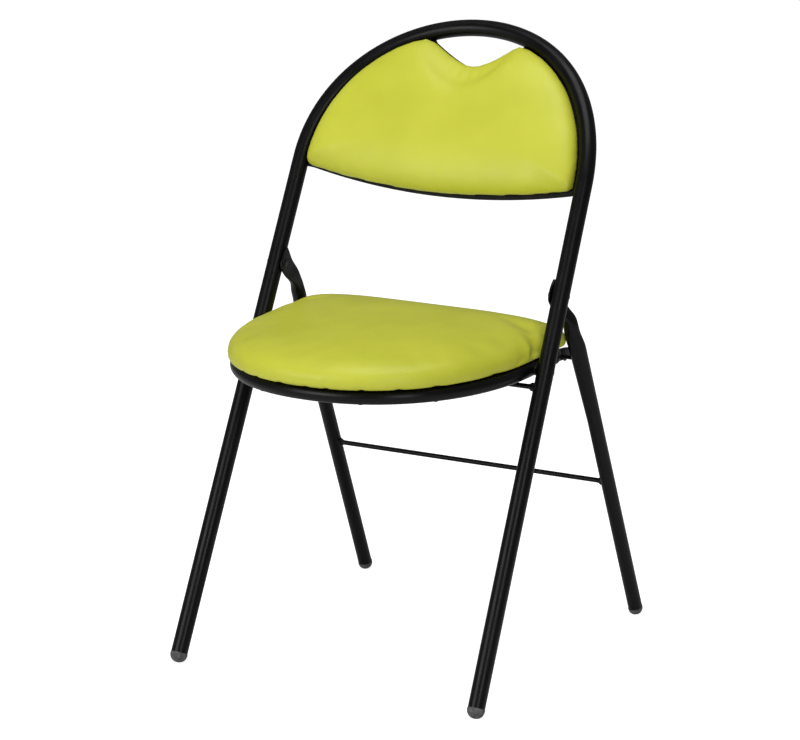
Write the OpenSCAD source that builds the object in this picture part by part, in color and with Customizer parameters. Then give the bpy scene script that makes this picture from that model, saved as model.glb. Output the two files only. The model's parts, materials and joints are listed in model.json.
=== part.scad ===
// Folding chair of round steel tube, with a padded half-moon back and a padded D-shaped seat.
// X runs across the chair, Y from front to back, and Z up from the floor.
// Sizes are in millimetres. Points are first worked out from the spot midway between the
// front feet, and place() then sets the origin under the middle of the whole chair.
// Left and right are as seen by somebody who stands in front of the chair.

/* [Main tube] */
// Outside diameter of the tube that makes the front legs and the back hoop
main_d = 22; // [20:0.5:24]
// Wall of the main tube
main_wall = 1.5; // [1:0.1:2.5]
// Angle by which the front legs lean back from upright
lean_angle = 27; // [24:0.5:29]
// Angle by which each front leg splays outwards
splay_angle = 0.88; // [0.7:0.02:1.2]
// Length of a front leg, from the floor to the middle of the hoop's bend
leg_length = 685.5; // [660:1:710]
// Radius of the hoop, measured to the middle of the tube
hoop_r = 211; // [210:0.5:214]
// Radius on which the hoop is rolled backwards
bow_r = 707; // [600:10:1000]

/* [Rear legs] */
// Outside diameter of the rear leg tube
rear_d = 19; // [17:0.5:19.5]
// Wall of the rear leg tube
rear_wall = 1.5; // [1:0.1:2]
// How much wider each rear leg stands at the floor than at its bend
rear_toe_out = 3.9; // [2.8:0.1:6.8]
// Distance from the front feet to the rear feet
foot_spread = 460.6; // [450:1:470]
// How far the bend of a rear leg lies behind its rivet
leg_bend_back = 41.9; // [40:0.1:44]
// Height of the rivets that join the rear legs to the front legs
leg_rivet_z = 484; // [480:1:490]
// Height at which the crushed top of a rear leg turns forward
leg_bend_z = 440; // [436:1:446]
// Width of the crushed top of a rear leg
spade_w = 28; // [24:0.5:30]
// Thickness of the crushed top of a rear leg
spade_t = 3.2; // [2.6:0.1:3.4]
// Height of the rod between the rear legs
cross_rod_z = 204.5; // [120:1:260]
// Diameter of the two rods
rod_d = 6.5; // [5:0.5:8]

/* [Seat] */
// Outside diameter of the seat tube
seat_tube_d = 19; // [16:0.5:20]
// Wall of the seat tube
seat_wall = 1.5; // [1:0.1:2]
// Height of the seat tube's middle line
seat_z = 396; // [390:1:402]
// Gap between the seat tube's widest place and a front leg
seat_gap = 3.7; // [3.2:0.1:8]
// Length of the round front of the seat tube
seat_front_l = 219; // [200:1:230]
// Thickness of the seat board
seat_board_t = 6; // [5:0.5:9]
// How far the cushion reaches past the seat tube's middle line at each side
cushion_side = 7.6; // [4:0.1:7.7]
// How far the cushion hangs over the seat tube at the front
cushion_overhang = 14; // [8:1:20]
// Length of the cushion behind its widest place
cushion_rear_l = 104; // [90:1:112]
// Thickness of the cushion at its middle
cushion_t = 42; // [30:1:50]

/* [Back] */
// Thickness of the back board
back_board_t = 7; // [5:0.5:9]
// Thickness of the back pad at its middle
pad_t = 30; // [20:1:36]
// Gap between the back pad and the hoop
pad_gap = 1.2; // [0.8:0.2:4]
// How far the lower edge of the back sags in its middle
back_sag = 21; // [0:1:30]
// Depth of the hand-hold in the top of the back
hand_depth = 36; // [20:1:50]
// Half of the hand-hold's width
hand_half_w = 67; // [50:1:80]

/* [Joints] */
// Diameter of the rivets
rivet_d = 6; // [5:0.5:7]
// Diameter of the pins that slide in the rear legs
pin_d = 5; // [4:0.5:6]
// Angle through which the seat tips up as the chair folds
seat_fold = 92; // [80:1:94]

/* [Hidden] */
$fn = 48;

black = [0.08, 0.08, 0.085];
lime = [0.78, 0.81, 0.30];
board_black = [0.10, 0.10, 0.10];
rubber_grey = [0.20, 0.20, 0.21];
zinc = [0.60, 0.61, 0.62];

// Clearances and small sizes that several pieces share
running = 0.05;
soft_gap = 0.3;
side_play = 0.3;
over = 1;
sliver = 0.2;
foot_flat = 0.5;
plug_l = 18;
plug_fit = 0.12;
tube_sides = 28;
collar = 0.12;
bar_steps = 14;
weld_l = 7;
weld_share = 1.5;
weld_start_share = 0.9;

main_r = main_d / 2;
rear_r = rear_d / 2;
seat_r = seat_tube_d / 2;
rod_r = rod_d / 2;
rivet_r = rivet_d / 2;
pin_r = pin_d / 2;

// Vectors and matrices
across = [1, 0, 0];
function unit(v) = v / norm(v);
function at_x(p, x) = [x, p.y, p.z];
function at_z(p, z) = [p.x, p.y, z];
function placed(u, v, w, p) =
    [[u.x, v.x, w.x, p.x], [u.y, v.y, w.y, p.y], [u.z, v.z, w.z, p.z], [0, 0, 0, 1]];
// A point turned about a line along X through c, the way that lifts the front of the seat
function tipped(p, c, angle) =
    let(d = p - c)
    c + [d.x, d.y * cos(angle) + d.z * sin(angle), d.z * cos(angle) - d.y * sin(angle)];
function tilt_of(v) = atan2(v.y, -v.z);

// The surface on which the back is rolled: x across, h up from the hoop's middle, and f forward
leg_up = [0, sin(lean_angle), cos(lean_angle)];
leg_back = [0, cos(lean_angle), -sin(lean_angle)];
function turn_at(h) = max(h, 0) / bow_r * 180 / PI;
function front_at(h) = sin(turn_at(h)) * leg_up - cos(turn_at(h)) * leg_back;
function up_at(h) = cos(turn_at(h)) * leg_up + sin(turn_at(h)) * leg_back;
function rolled(x, h, f) =
    x * across + (leg_length + min(h, 0)) * leg_up + bow_r * leg_back + (bow_r + f) * front_at(h);
function hoop_at(angle) = rolled(hoop_r * cos(angle), hoop_r * sin(angle), 0);

// The front leg on the right, and points on its middle line
front_floor = (hoop_r / cos(splay_angle) + leg_length * tan(splay_angle)) * across;
leg_top = hoop_at(splay_angle);
leg_dir = unit(leg_top - front_floor);
function leg_at(z) = front_floor + leg_dir * z / leg_dir.z;
leg_pivot = leg_at(leg_rivet_z);
seat_pivot = leg_at(seat_z);

// The rear leg on the right, whose crushed top lies flush with the tube's inner side
spade_outer_x = leg_pivot.x - main_r - side_play;
spade_x = spade_outer_x - spade_t / 2;
bend_x = spade_outer_x - spade_t + rear_r;
rear_floor = [bend_x + rear_toe_out, foot_spread, 0];
rear_step = ([bend_x, leg_pivot.y + leg_bend_back, leg_bend_z] - rear_floor) / leg_bend_z;
rear_dir = unit(rear_step);
crush_l = 28;
function rear_at(z) = rear_floor + rear_step * z;

// The sliding pins: where they are at rest, and where they have slid to in the folded leg
arm_drop = 9;
pin_rest = rear_at(seat_z - arm_drop);
pin_folded = tipped(pin_rest, seat_pivot, seat_fold);
leg_axis_gap = norm(cross(at_x(pin_rest - leg_pivot, 0), unit(at_x(rear_dir, 0))));
function pin_reach(pin) = norm(at_x(pin, 0) - at_x(leg_pivot, 0));
function pin_lag(pin) = asin(leg_axis_gap / pin_reach(pin));
leg_fold = tilt_of(pin_rest - leg_pivot) - tilt_of(pin_folded - leg_pivot)
    + pin_lag(pin_folded) - pin_lag(pin_rest);
fold_ratio = leg_fold / seat_fold;
slot_play = 0.5;
slot_steps = 12;

// The seat's plan: a round front, and sides that toe in a little behind the widest place
seat_mid_ahead = 4;
seat_mid_y = seat_pivot.y - seat_mid_ahead;
seat_half_w = seat_pivot.x - main_r - seat_gap - seat_r;
cushion_half_w = seat_half_w + cushion_side;
ring_roundness_share = 2.17;
toe_in_share = 0.02;
arm_t = 6;
arm_end_r = 12.5;
arm_flat_l = 36;
arm_crush_share = 0.42;
side_y = pin_rest.y - arm_flat_l;
function arm_x(y) = seat_half_w - toe_in_share * (y - seat_mid_y);
function ring_at(angle) =
    let(power = 2 / ring_roundness_share)
    [
        sign(angle) * seat_half_w * pow(abs(sin(angle)), power),
        seat_mid_y - seat_front_l * pow(cos(angle), power),
        seat_z
    ];

// The seat's board and cushion share one outline, seen from above, that runs anticlockwise.
// It is drawn in by different distances at its sides, its front and its rear.
cushion_front_l = seat_front_l + seat_r + cushion_overhang;
cushion_roundness_share = 2.2;
cushion_rear_share = 8;
outline_steps = 56;
function seat_outline(angle, side_in, front_in, rear_in) =
    let(front = sin(angle) < 0)
    let(power = 2 / (front ? cushion_roundness_share : cushion_rear_share))
    let(reach = front ? cushion_front_l - front_in : cushion_rear_l - rear_in)
    [
        sign(cos(angle)) * (cushion_half_w - side_in) * pow(abs(cos(angle)), power),
        seat_mid_y + sign(sin(angle)) * reach * pow(abs(sin(angle)), power)
    ];
function seat_points(side_in, front_in, rear_in) = [
    for (i = [0:outline_steps - 1])
        seat_outline((i + 0.5) * 360 / outline_steps, side_in, front_in, rear_in)
];
board_bottom = seat_z + seat_r;
board_top = board_bottom + seat_board_t;
board_side_in = 7;
board_front_in = 18;
pocket_gap = 0.5;

// The back's outline on its rolled surface: lower edge, right side, hand-hold, left side
back_outer_r = hoop_r - main_r - pad_gap;
back_side_angle = 1.9;
hand_angle = acos(hand_half_w / back_outer_r);
hand_top = back_outer_r * sin(hand_angle);
hand_power_share = 1.45;
edge_steps = 16;
side_steps = 14;
hand_steps = 16;
back_side_x = back_outer_r * cos(back_side_angle);
side_turn = hand_angle + back_side_angle;
function lower_edge(share) = [
    back_side_x * share,
    -back_outer_r * sin(back_side_angle) - back_sag * (1 - share * share)
];
function hand_edge(share) =
    [hand_half_w * share, hand_top - hand_depth * (1 - pow(abs(share), hand_power_share))];
function side_edge(angle) = back_outer_r * [cos(angle), sin(angle)];
back_points = concat(
    [for (i = [0:edge_steps - 1]) lower_edge(2 * i / edge_steps - 1)],
    [for (i = [0:side_steps - 1]) side_edge(side_turn * i / side_steps - back_side_angle)],
    [for (i = [0:hand_steps - 1]) hand_edge(1 - 2 * i / hand_steps)],
    [for (i = [0:side_steps - 1]) side_edge(180 - hand_angle + side_turn * i / side_steps)]
);
back_middle = [0, back_outer_r * 0.35];
board_set_back = 2;
board_rear_f = -board_set_back - back_board_t;
board_lip = 4;

// Lugs that carry the back board behind the hoop
lug_t = 2.5;
lug_gap = 0.8;
lug_f = board_rear_f - lug_t - lug_gap;
lug_w = 22;
lug_reach = 34;
lug_hole_r = hoop_r - main_r - lug_reach + lug_w / 2;
lug_upper_angle = 52;
lug_lower_angle = 9;
screw_r = 2;
screw_head_r = 4;
screw_head_h = 2.2;
screw_bite = 4.5;

// The chair's middle from front to back
front_most = seat_mid_y - cushion_front_l;
rear_most = rear_at(rear_r - foot_flat).y + rear_r;
mid_y = (front_most + rear_most) / 2;

// Moves that every piece uses
module place() translate([0, -mid_y, 0]) children();

module on_side(s) {
    if (s > 0) children();
    else mirror(across) children();
}

module both_sides() {
    children();
    mirror(across) children();
}

// Straight and bent tube
module tube_section(r, wall) {
    difference() {
        circle(r = r);
        if (wall > 0) circle(r = r - wall);
    }
}

module straight_tube(p, q, r, wall) {
    w = unit(q - p);
    u = unit(cross(abs(w.x) < 0.9 ? across : [0, 0, 1], w));
    multmatrix(placed(u, cross(w, u), w, p))
        linear_extrude(height = norm(q - p)) tube_section(r, wall);
}

// A bent tube swept along a path, as one hollow form; facing[i] shows which way is up at point i
function heading(path, i) =
    let(before = i > 0 ? unit(path[i] - path[i - 1]) : 0 * across)
    let(after = i < len(path) - 1 ? unit(path[i + 1] - path[i]) : 0 * across)
    unit(before + after);
function tube_ring(path, facing, i, r) =
    let(t = heading(path, i), v = unit(facing[i] - (facing[i] * t) * t), u = cross(v, t))
    [for (k = [0:tube_sides - 1])
        path[i] + r * (cos(360 * k / tube_sides) * u + sin(360 * k / tube_sides) * v)];

module swept_tube(path, facing, r, wall) {
    m = len(path);
    n = tube_sides;
    points = [for (radius = [r, r - wall], i = [0:m - 1]) each tube_ring(path, facing, i, radius)];
    outside = [
        for (j = [0:m - 2], i = [0:n - 1])
            let(a = j * n + i, b = j * n + (i + 1) % n)
            each [[a + n, b + n, b], [a + n, b, a]]
    ];
    inside = [for (face = outside) [face[2] + m * n, face[1] + m * n, face[0] + m * n]];
    ends = [
        for (i = [0:n - 1])
            let(b = (i + 1) % n, last = (m - 1) * n)
            each [
                [i, b, b + m * n], [i, b + m * n, i + m * n],
                [last + b, last + i, last + i + m * n], [last + b, last + i + m * n, last + b + m * n]
            ]
    ];
    polyhedron(points = points, faces = concat(outside, inside, ends));
}

// A cylinder along X from x0 to x1 through the point p
module x_cylinder(p, x0, x1, r) {
    translate(at_x(p, x0)) rotate([0, 90, 0]) cylinder(h = x1 - x0, r = r);
}

// A flat bar with round ends, from p to q, that stands between x0 and x1
module x_bar(p, q, x0, x1, r) {
    w = unit(at_x(q - p, 0));
    l = norm(at_x(q - p, 0));
    outline = concat(
        [for (i = [0:bar_steps]) r * [-cos(180 * i / bar_steps), -sin(180 * i / bar_steps)]],
        [for (i = [0:bar_steps]) [r * cos(180 * i / bar_steps), l + r * sin(180 * i / bar_steps)]]
    );
    multmatrix(placed(cross(w, across), w, across, at_x(p, x0)))
        linear_extrude(height = x1 - x0) polygon(outline);
}

// A rod across the chair with a weld at each end, cut to the tubes that it joins
module welded_rod(p, tube_p, tube_q, tube_r) {
    difference() {
        union() {
            x_cylinder(p, -p.x, p.x, rod_r);
            both_sides() translate(at_x(p, p.x - tube_r - weld_l)) rotate([0, 90, 0])
                cylinder(h = weld_l + tube_r / 2, r1 = rod_r * weld_start_share,
                    r2 = rod_r * weld_share);
        }
        both_sides() straight_tube(tube_p, tube_q, tube_r, 0);
    }
}

// A rubber foot: a ball end with a stem inside the tube, cut flat on the floor
module foot(centre, dir, r, wall) {
    difference() {
        union() {
            difference() {
                translate(centre) sphere(r = r);
                straight_tube(centre, centre + dir * (r + over), r + over, 0);
            }
            straight_tube(centre - dir * over, centre + dir * plug_l, r - wall - plug_fit, 0);
        }
        translate([centre.x - 2 * r, centre.y - 2 * r, -2 * r]) cube([4 * r, 4 * r, 2 * r]);
    }
}

// A rivet along X with a low round head outside and a flat head inside
module rivet(p, inner_x, outer_x, inner_h, outer_h) {
    head_r = rivet_r * 2;
    cap_r = (head_r * head_r + outer_h * outer_h) / (2 * outer_h);
    shank_l = outer_x - inner_x;
    translate(at_x(p, inner_x - inner_h)) rotate([0, 90, 0]) rotate_extrude() {
        square([head_r, inner_h]);
        square([rivet_r, inner_h + shank_l + outer_h / 2]);
        translate([0, inner_h + shank_l]) intersection() {
            translate([0, outer_h - cap_r]) circle(r = cap_r);
            square([head_r, outer_h + over]);
        }
    }
}

// A closed form through rings of points, with a middle point at each end
module lofted(rings, first_middle, last_middle) {
    n = len(rings[0]);
    k = len(rings);
    points = concat([for (ring = rings) each ring], [first_middle, last_middle]);
    sides = [
        for (j = [0:k - 2], i = [0:n - 1])
            let(a = j * n + i, b = j * n + (i + 1) % n)
            each [[a + n, b + n, b], [a + n, b, a]]
    ];
    first_cap = [for (i = [0:n - 1]) [k * n, i, (i + 1) % n]];
    last_cap = [for (i = [0:n - 1]) [k * n + 1, (k - 1) * n + (i + 1) % n, (k - 1) * n + i]];
    polyhedron(points = points, faces = concat(sides, first_cap, last_cap));
}

// An outline drawn in by a distance, and then shrunk towards a middle point
function drawn_in(points, distance, middle, share) =
    let(n = len(points))
    [
        for (i = [0:n - 1])
            let(along = unit(points[(i + 1) % n] - points[(i + n - 1) % n]))
            let(p = points[i] + distance * [-along.y, along.x])
            middle + (p - middle) * share
    ];

// Body: main frame
hoop_steps = 30;
hoop_angles = [for (i = [0:hoop_steps]) splay_angle + i * (180 - 2 * splay_angle) / hoop_steps];
front_foot_at = leg_at(main_r - foot_flat);
main_path = concat(
    [front_foot_at], [for (a = hoop_angles) hoop_at(a)], [at_x(front_foot_at, -front_foot_at.x)]
);
main_facing = concat(
    [front_at(0)], [for (a = hoop_angles) front_at(hoop_r * sin(a))], [front_at(0)]
);

module front_frame() color(black) place() difference() {
    swept_tube(main_path, main_facing, main_r, main_wall);
    both_sides() for (p = [leg_pivot, seat_pivot])
        x_cylinder(p, p.x - main_d, p.x + main_d, rivet_r + running);
}

stop_drop = 17.5;
stop_ahead = 14.5;

module stop_rod() color(black) place()
    welded_rod([seat_pivot.x, seat_pivot.y - stop_ahead, seat_z - stop_drop], front_floor, leg_top, main_r);

module front_foot(s) color(rubber_grey) place() on_side(s)
    foot(front_foot_at, leg_dir, main_r, main_wall);

inner_head_h = 1.4;
outer_head_h = 3;

module leg_rivet(s) color(black) place() on_side(s)
    rivet(leg_pivot, spade_outer_x - spade_t, leg_pivot.x + main_r, inner_head_h, outer_head_h);

module seat_rivet(s) color(black) place() on_side(s)
    rivet(seat_pivot, arm_x(seat_pivot.y) - seat_r - side_play, seat_pivot.x + main_r,
        inner_head_h, outer_head_h);

module seat_spacer(s) color(zinc) place() on_side(s) {
    x0 = arm_x(seat_pivot.y) + seat_r + side_play;
    x1 = seat_pivot.x - main_r;
    difference() {
        x_cylinder(seat_pivot, x0, x1, rivet_r * 2);
        x_cylinder(seat_pivot, x0 - over, x1 + over, rivet_r + running);
    }
}

// Places a shape whose Z points forward at an angle round the hoop, with X pointing outwards
module at_hoop(angle, r, f) {
    h = r * sin(angle);
    outward = cos(angle) * across + sin(angle) * up_at(h);
    multmatrix(placed(outward, cross(front_at(h), outward), front_at(h), rolled(r * cos(angle), h, f)))
        children();
}

module back_lug(s, angle) color(black) place() on_side(s) difference() {
    at_hoop(angle, lug_hole_r, lug_f) difference() {
        union() {
            cylinder(h = lug_t, d = lug_w);
            translate([0, -lug_w / 2, 0]) cube([lug_reach + main_r - lug_w / 2, lug_w, lug_t]);
        }
        translate([0, 0, -over]) cylinder(h = lug_t + 2 * over, r = screw_r + running);
    }
    at_hoop(angle, hoop_r, 0) rotate([90, 0, 0])
        translate([0, 0, -lug_w]) cylinder(h = 2 * lug_w, r = main_r + side_play);
}

module back_holes() both_sides() for (angle = [lug_upper_angle, lug_lower_angle])
    at_hoop(angle, lug_hole_r, board_rear_f - over)
        cylinder(h = screw_bite + over, r = screw_r + running);

board_points = [
    for (p = back_points) p.y < 0 ? [p.x, p.y - board_lip * (1 - pow(p.x / back_side_x, 2))] : p
];
function board_ring(distance, share, f) =
    [for (p = drawn_in(board_points, distance, back_middle, share)) rolled(p.x, p.y, f)];
back_shares = [0.18, 0.36, 0.54, 0.7, 0.85];
board_edge = 1;

module back_board() color(board_black) place() difference() {
    rear = board_rear_f;
    front = -board_set_back;
    last = len(back_shares) - 1;
    lofted(
        concat(
            [for (share = back_shares) board_ring(board_edge, share, rear)],
            [board_ring(board_edge, 1, rear), board_ring(0, 1, rear + board_edge)],
            [board_ring(0, 1, front - board_edge), board_ring(board_edge, 1, front)],
            [for (i = [last:-1:0]) board_ring(board_edge, back_shares[i], front)]
        ),
        rolled(0, back_middle.y, rear), rolled(0, back_middle.y, front)
    );
    back_holes();
}

pad_rear_f = -board_set_back + soft_gap;
function pad_ring(distance, share, rise_share) =
    [for (p = drawn_in(back_points, distance, back_middle, share))
        rolled(p.x, p.y, pad_rear_f + pad_t * rise_share)];

// Up the pad's side: the share of pad_crown_in by which it is drawn in, and its share of the
// pad's thickness. Over its crown: how much of the outline is left, and the share of the thickness.
pad_crown_in = 15;
pad_side_shares = [[0.27, 0], [0.07, 0.05], [0, 0.16], [0.08, 0.34], [0.27, 0.5], [0.6, 0.66], [1, 0.78]];
pad_crown_shares = [[0.84, 0.88], [0.58, 0.95], [0.28, 0.99]];

module back_pad() color(lime) place() lofted(
    concat(
        [for (share = back_shares) pad_ring(pad_crown_in * pad_side_shares[0][0], share, 0)],
        [for (row = pad_side_shares) pad_ring(pad_crown_in * row[0], 1, row[1])],
        [for (row = pad_crown_shares) pad_ring(pad_crown_in, row[0], row[1])]
    ),
    rolled(0, back_middle.y, pad_rear_f), rolled(0, back_middle.y, pad_rear_f + pad_t)
);

module screw(bite, head_h) {
    translate([0, 0, -head_h]) cylinder(h = head_h, r1 = screw_head_r * 0.7, r2 = screw_head_r);
    translate([0, 0, -head_h / 2]) cylinder(h = bite + head_h / 2, r = screw_r);
}

module back_screws() color(zinc) place() both_sides() for (angle = [lug_upper_angle, lug_lower_angle])
    at_hoop(angle, lug_hole_r, lug_f) screw(lug_t + screw_bite, screw_head_h);

// The slot in a rear leg: the way of the pin, as seen from the leg while the chair folds
function pin_in_leg(share) =
    let(p = tipped(tipped(pin_rest, seat_pivot, seat_fold * share), leg_pivot, -leg_fold * share))
    [p.y, p.z];
slot_r = pin_r + slot_play;
slot_way = [for (i = [0:slot_steps]) pin_in_leg(i / slot_steps)];
slot_heading = [
    for (i = [0:slot_steps]) unit(slot_way[min(i + 1, slot_steps)] - slot_way[max(i - 1, 0)])
];
function slot_edge(i, angle) =
    let(t = slot_heading[i])
    slot_way[i] + slot_r * [t.y * cos(angle) + t.x * sin(angle), t.y * sin(angle) - t.x * cos(angle)];
slot_outline = concat(
    [for (i = [0:slot_steps]) slot_edge(i, 0)],
    [for (a = [20:20:160]) slot_edge(slot_steps, a)],
    [for (i = [slot_steps:-1:0]) slot_edge(i, 180)],
    [for (a = [200:20:340]) slot_edge(0, a)]
);

// Body: rear legs
module rear_leg(s) color(black) place() on_side(s) {
    crush_at = rear_at(leg_bend_z - crush_l);
    bend_at = at_x(rear_at(leg_bend_z), spade_x);
    spade_inner_x = spade_outer_x - spade_t;
    difference() {
        union() {
            straight_tube(rear_at(rear_r - foot_flat), crush_at, rear_r, rear_wall);
            hull() {
                straight_tube(crush_at - rear_dir * over, crush_at + rear_dir * sliver,
                    rear_r + collar, 0, $fn = 32);
                x_cylinder(bend_at, spade_inner_x - collar, spade_outer_x + collar,
                    spade_w / 2 + collar, $fn = 32);
            }
            x_bar(bend_at, leg_pivot, spade_inner_x, spade_outer_x, spade_w / 2);
        }
        x_cylinder(leg_pivot, spade_inner_x - over, spade_outer_x + over, rivet_r + running);
        multmatrix(placed([0, 1, 0], [0, 0, 1], across, across * (pin_rest.x - 2 * rear_r)))
            linear_extrude(height = 2 * rear_r) polygon(slot_outline);
    }
}

module rear_cross_rod() color(black) place()
    welded_rod(rear_at(cross_rod_z), rear_floor, rear_at(leg_bend_z), rear_r);

module rear_foot(s) color(rubber_grey) place() on_side(s)
    foot(rear_at(rear_r - foot_flat), rear_dir, rear_r, rear_wall);

// Body: seat
arm_inner_x = arm_x(side_y) - arm_t / 2;
arm_outer_x = arm_x(side_y) + arm_t / 2;
seat_screw_angles = [20, 48];
seat_head_h = 1.2;

ring_steps = 28;
ring_angles = [for (i = [0:ring_steps]) -90 + i * 180 / ring_steps];
arm_end = [arm_x(side_y), side_y, seat_z];
arm_dir = unit(arm_end - ring_at(90));
arm_bend = arm_end + (pin_rest - arm_end) * arm_crush_share;
ring_path = concat([at_x(arm_end, -arm_end.x)], [for (a = ring_angles) ring_at(a)], [arm_end]);
ring_facing = [for (p = ring_path) [0, 0, 1]];

module seat_ring() color(black) place() difference() {
    union() {
        swept_tube(ring_path, ring_facing, seat_r, seat_wall);
        both_sides() hull() {
            straight_tube(arm_end - arm_dir * over, arm_end + arm_dir * sliver,
                seat_r + collar, 0, $fn = 32);
            x_cylinder(arm_bend, arm_inner_x - collar, arm_outer_x + collar,
                arm_end_r + collar, $fn = 32);
        }
        both_sides() x_bar(arm_bend, pin_rest, arm_inner_x, arm_outer_x, arm_end_r);
    }
    both_sides() {
        x_cylinder(seat_pivot, seat_half_w - seat_tube_d, seat_half_w + seat_tube_d, rivet_r + running);
        x_cylinder(pin_rest, arm_inner_x - over, arm_outer_x + over, pin_r + running);
        for (angle = seat_screw_angles)
            translate(ring_at(angle) - [0, 0, seat_tube_d])
                cylinder(h = 2 * seat_tube_d, r = screw_r + running);
    }
}

module seat_board() color(board_black) place() difference() {
    translate([0, 0, board_bottom]) linear_extrude(height = seat_board_t)
        polygon(seat_points(board_side_in, board_front_in, board_side_in));
    both_sides() for (angle = seat_screw_angles)
        translate([0, 0, -over] + at_z(ring_at(angle), board_bottom))
            cylinder(h = screw_bite + over + soft_gap, r = screw_r + running);
}

cushion_bottom = board_top + soft_gap;
cushion_rim_z = board_bottom + soft_gap;
cushion_middle = [0, seat_mid_y, 0];
pocket_side_in = board_side_in - pocket_gap;
pocket_front_in = board_front_in - pocket_gap;
function cushion_ring(side_in, front_in, rear_in, share, z) = [
    for (p = seat_points(side_in, front_in, rear_in))
        cushion_middle * (1 - share) + [p.x, p.y, 0] * share + [0, 0, z]
];
function cushion_side_z(share) = cushion_rim_z + (cushion_bottom + cushion_t - cushion_rim_z) * share;

// Up the cushion's side: the shares by which it is drawn in at its sides, front and rear, and its
// share of the height. Over its crown: how much of the outline is left, and the share of the height.
crown_side_in = 32;
crown_front_in = 27;
crown_rear_in = 20;
cushion_side_shares = [
    [0.14, 0.52, 0.22, 0], [0.05, 0.22, 0.07, 0.07], [0.01, 0.05, 0.01, 0.18], [0, 0, 0, 0.3],
    [0.05, 0.04, 0.05, 0.42], [0.14, 0.15, 0.15, 0.54], [0.31, 0.33, 0.33, 0.65],
    [0.59, 0.59, 0.6, 0.75], [1, 1, 1, 0.84]
];
cushion_crown_shares = [[0.82, 0.91], [0.56, 0.965], [0.28, 0.99]];
function cushion_row(row) = cushion_ring(
    crown_side_in * row[0], crown_front_in * row[1], crown_rear_in * row[2], 1, cushion_side_z(row[3])
);
function pocket_ring(share, z) =
    cushion_ring(pocket_side_in, pocket_front_in, pocket_side_in, share, z);

module seat_cushion() color(lime) place() lofted(
    concat(
        [pocket_ring(0.5, cushion_bottom), pocket_ring(1, cushion_bottom), pocket_ring(1, cushion_rim_z)],
        [for (row = cushion_side_shares) cushion_row(row)],
        [for (row = cushion_crown_shares)
            cushion_ring(crown_side_in, crown_front_in, crown_rear_in, row[0], cushion_side_z(row[1]))]
    ),
    [0, seat_mid_y, cushion_bottom], [0, seat_mid_y, cushion_bottom + cushion_t]
);

module seat_screws() color(zinc) place() both_sides() for (angle = seat_screw_angles)
    translate(at_z(ring_at(angle), seat_z - seat_r)) screw(seat_tube_d + screw_bite, seat_head_h);

module slide_pin(s) color(zinc) place() on_side(s) {
    x_cylinder(pin_rest, arm_inner_x - inner_head_h / 2, pin_rest.x - over, pin_r);
    x_cylinder(pin_rest, arm_inner_x - inner_head_h, arm_inner_x, pin_r * 2);
}

front_frame();
stop_rod();
front_foot(-1);  // front_foot_left
front_foot(1);  // front_foot_right
leg_rivet(-1);  // leg_rivet_left
leg_rivet(1);  // leg_rivet_right
seat_rivet(-1);  // seat_rivet_left
seat_rivet(1);  // seat_rivet_right
seat_spacer(-1);  // seat_spacer_left
seat_spacer(1);  // seat_spacer_right
back_lug(-1, lug_upper_angle);  // back_lug_upper_left
back_lug(1, lug_upper_angle);  // back_lug_upper_right
back_lug(-1, lug_lower_angle);  // back_lug_lower_left
back_lug(1, lug_lower_angle);  // back_lug_lower_right
back_board();
back_pad();
back_screws();
rear_leg(-1);  // rear_leg_left
rear_leg(1);  // rear_leg_right
rear_cross_rod();
rear_foot(-1);  // rear_foot_left
rear_foot(1);  // rear_foot_right
seat_ring();
seat_board();
seat_cushion();
seat_screws();
slide_pin(-1);  // slide_pin_left
slide_pin(1);  // slide_pin_right
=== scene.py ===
# %% [markdown]
# A folding chair of black steel tube with lime-green vinyl pads.
# The lesson builds the chair piece by piece, from the big bent tube to the staples under the seat.
# The frame from the construction step is loaded first. It brings the plain solids, the joints and
# the bodies, and each piece made here takes the place of one of those solids.
# Everything is in metres. X runs across the chair, Y from front to back, and Z up from the floor.

# %% Load the frame
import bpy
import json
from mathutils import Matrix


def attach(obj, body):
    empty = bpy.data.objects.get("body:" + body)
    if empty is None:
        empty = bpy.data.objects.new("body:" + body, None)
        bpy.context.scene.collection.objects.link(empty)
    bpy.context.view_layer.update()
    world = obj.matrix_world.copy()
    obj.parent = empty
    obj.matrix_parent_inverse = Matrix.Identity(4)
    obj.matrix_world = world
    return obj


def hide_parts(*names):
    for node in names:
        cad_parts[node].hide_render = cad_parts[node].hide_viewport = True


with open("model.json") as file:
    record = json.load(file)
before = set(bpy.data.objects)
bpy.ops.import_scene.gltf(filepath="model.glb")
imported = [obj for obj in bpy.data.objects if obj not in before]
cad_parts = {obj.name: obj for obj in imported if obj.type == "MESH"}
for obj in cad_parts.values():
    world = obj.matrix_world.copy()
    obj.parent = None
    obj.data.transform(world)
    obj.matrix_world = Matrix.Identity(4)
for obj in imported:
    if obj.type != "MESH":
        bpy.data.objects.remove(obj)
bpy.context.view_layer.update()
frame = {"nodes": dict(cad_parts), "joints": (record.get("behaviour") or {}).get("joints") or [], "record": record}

import json
from math import acos, atan2, copysign, cos, degrees, exp, pi, radians, sin, sqrt, tan
import bmesh
import bpy
from mathutils import Matrix, Quaternion, Vector, noise

JOINTS = {joint["name"]: joint for joint in frame["joints"]}

# %% [markdown]
# The camera comes first, because every later choice is judged through it.
# Its height, side angle, distance and slight roll were found by fitting the chair's straight legs,
# feet and rods to the picture, and a long lens keeps the perspective as flat as it is there.

# %% Camera
PICTURE_W = 800
VIEW_SIDE = radians(30.85)
VIEW_RISE = radians(14.72)
VIEW_ROLL = radians(-0.88)
VIEW_DISTANCE = 4.5743
VIEW_TARGET = Vector((0.0031, -0.0109, 0.3732))
FOCAL_PIXELS = 3556.3
SENSOR_W = 36.0

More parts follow.
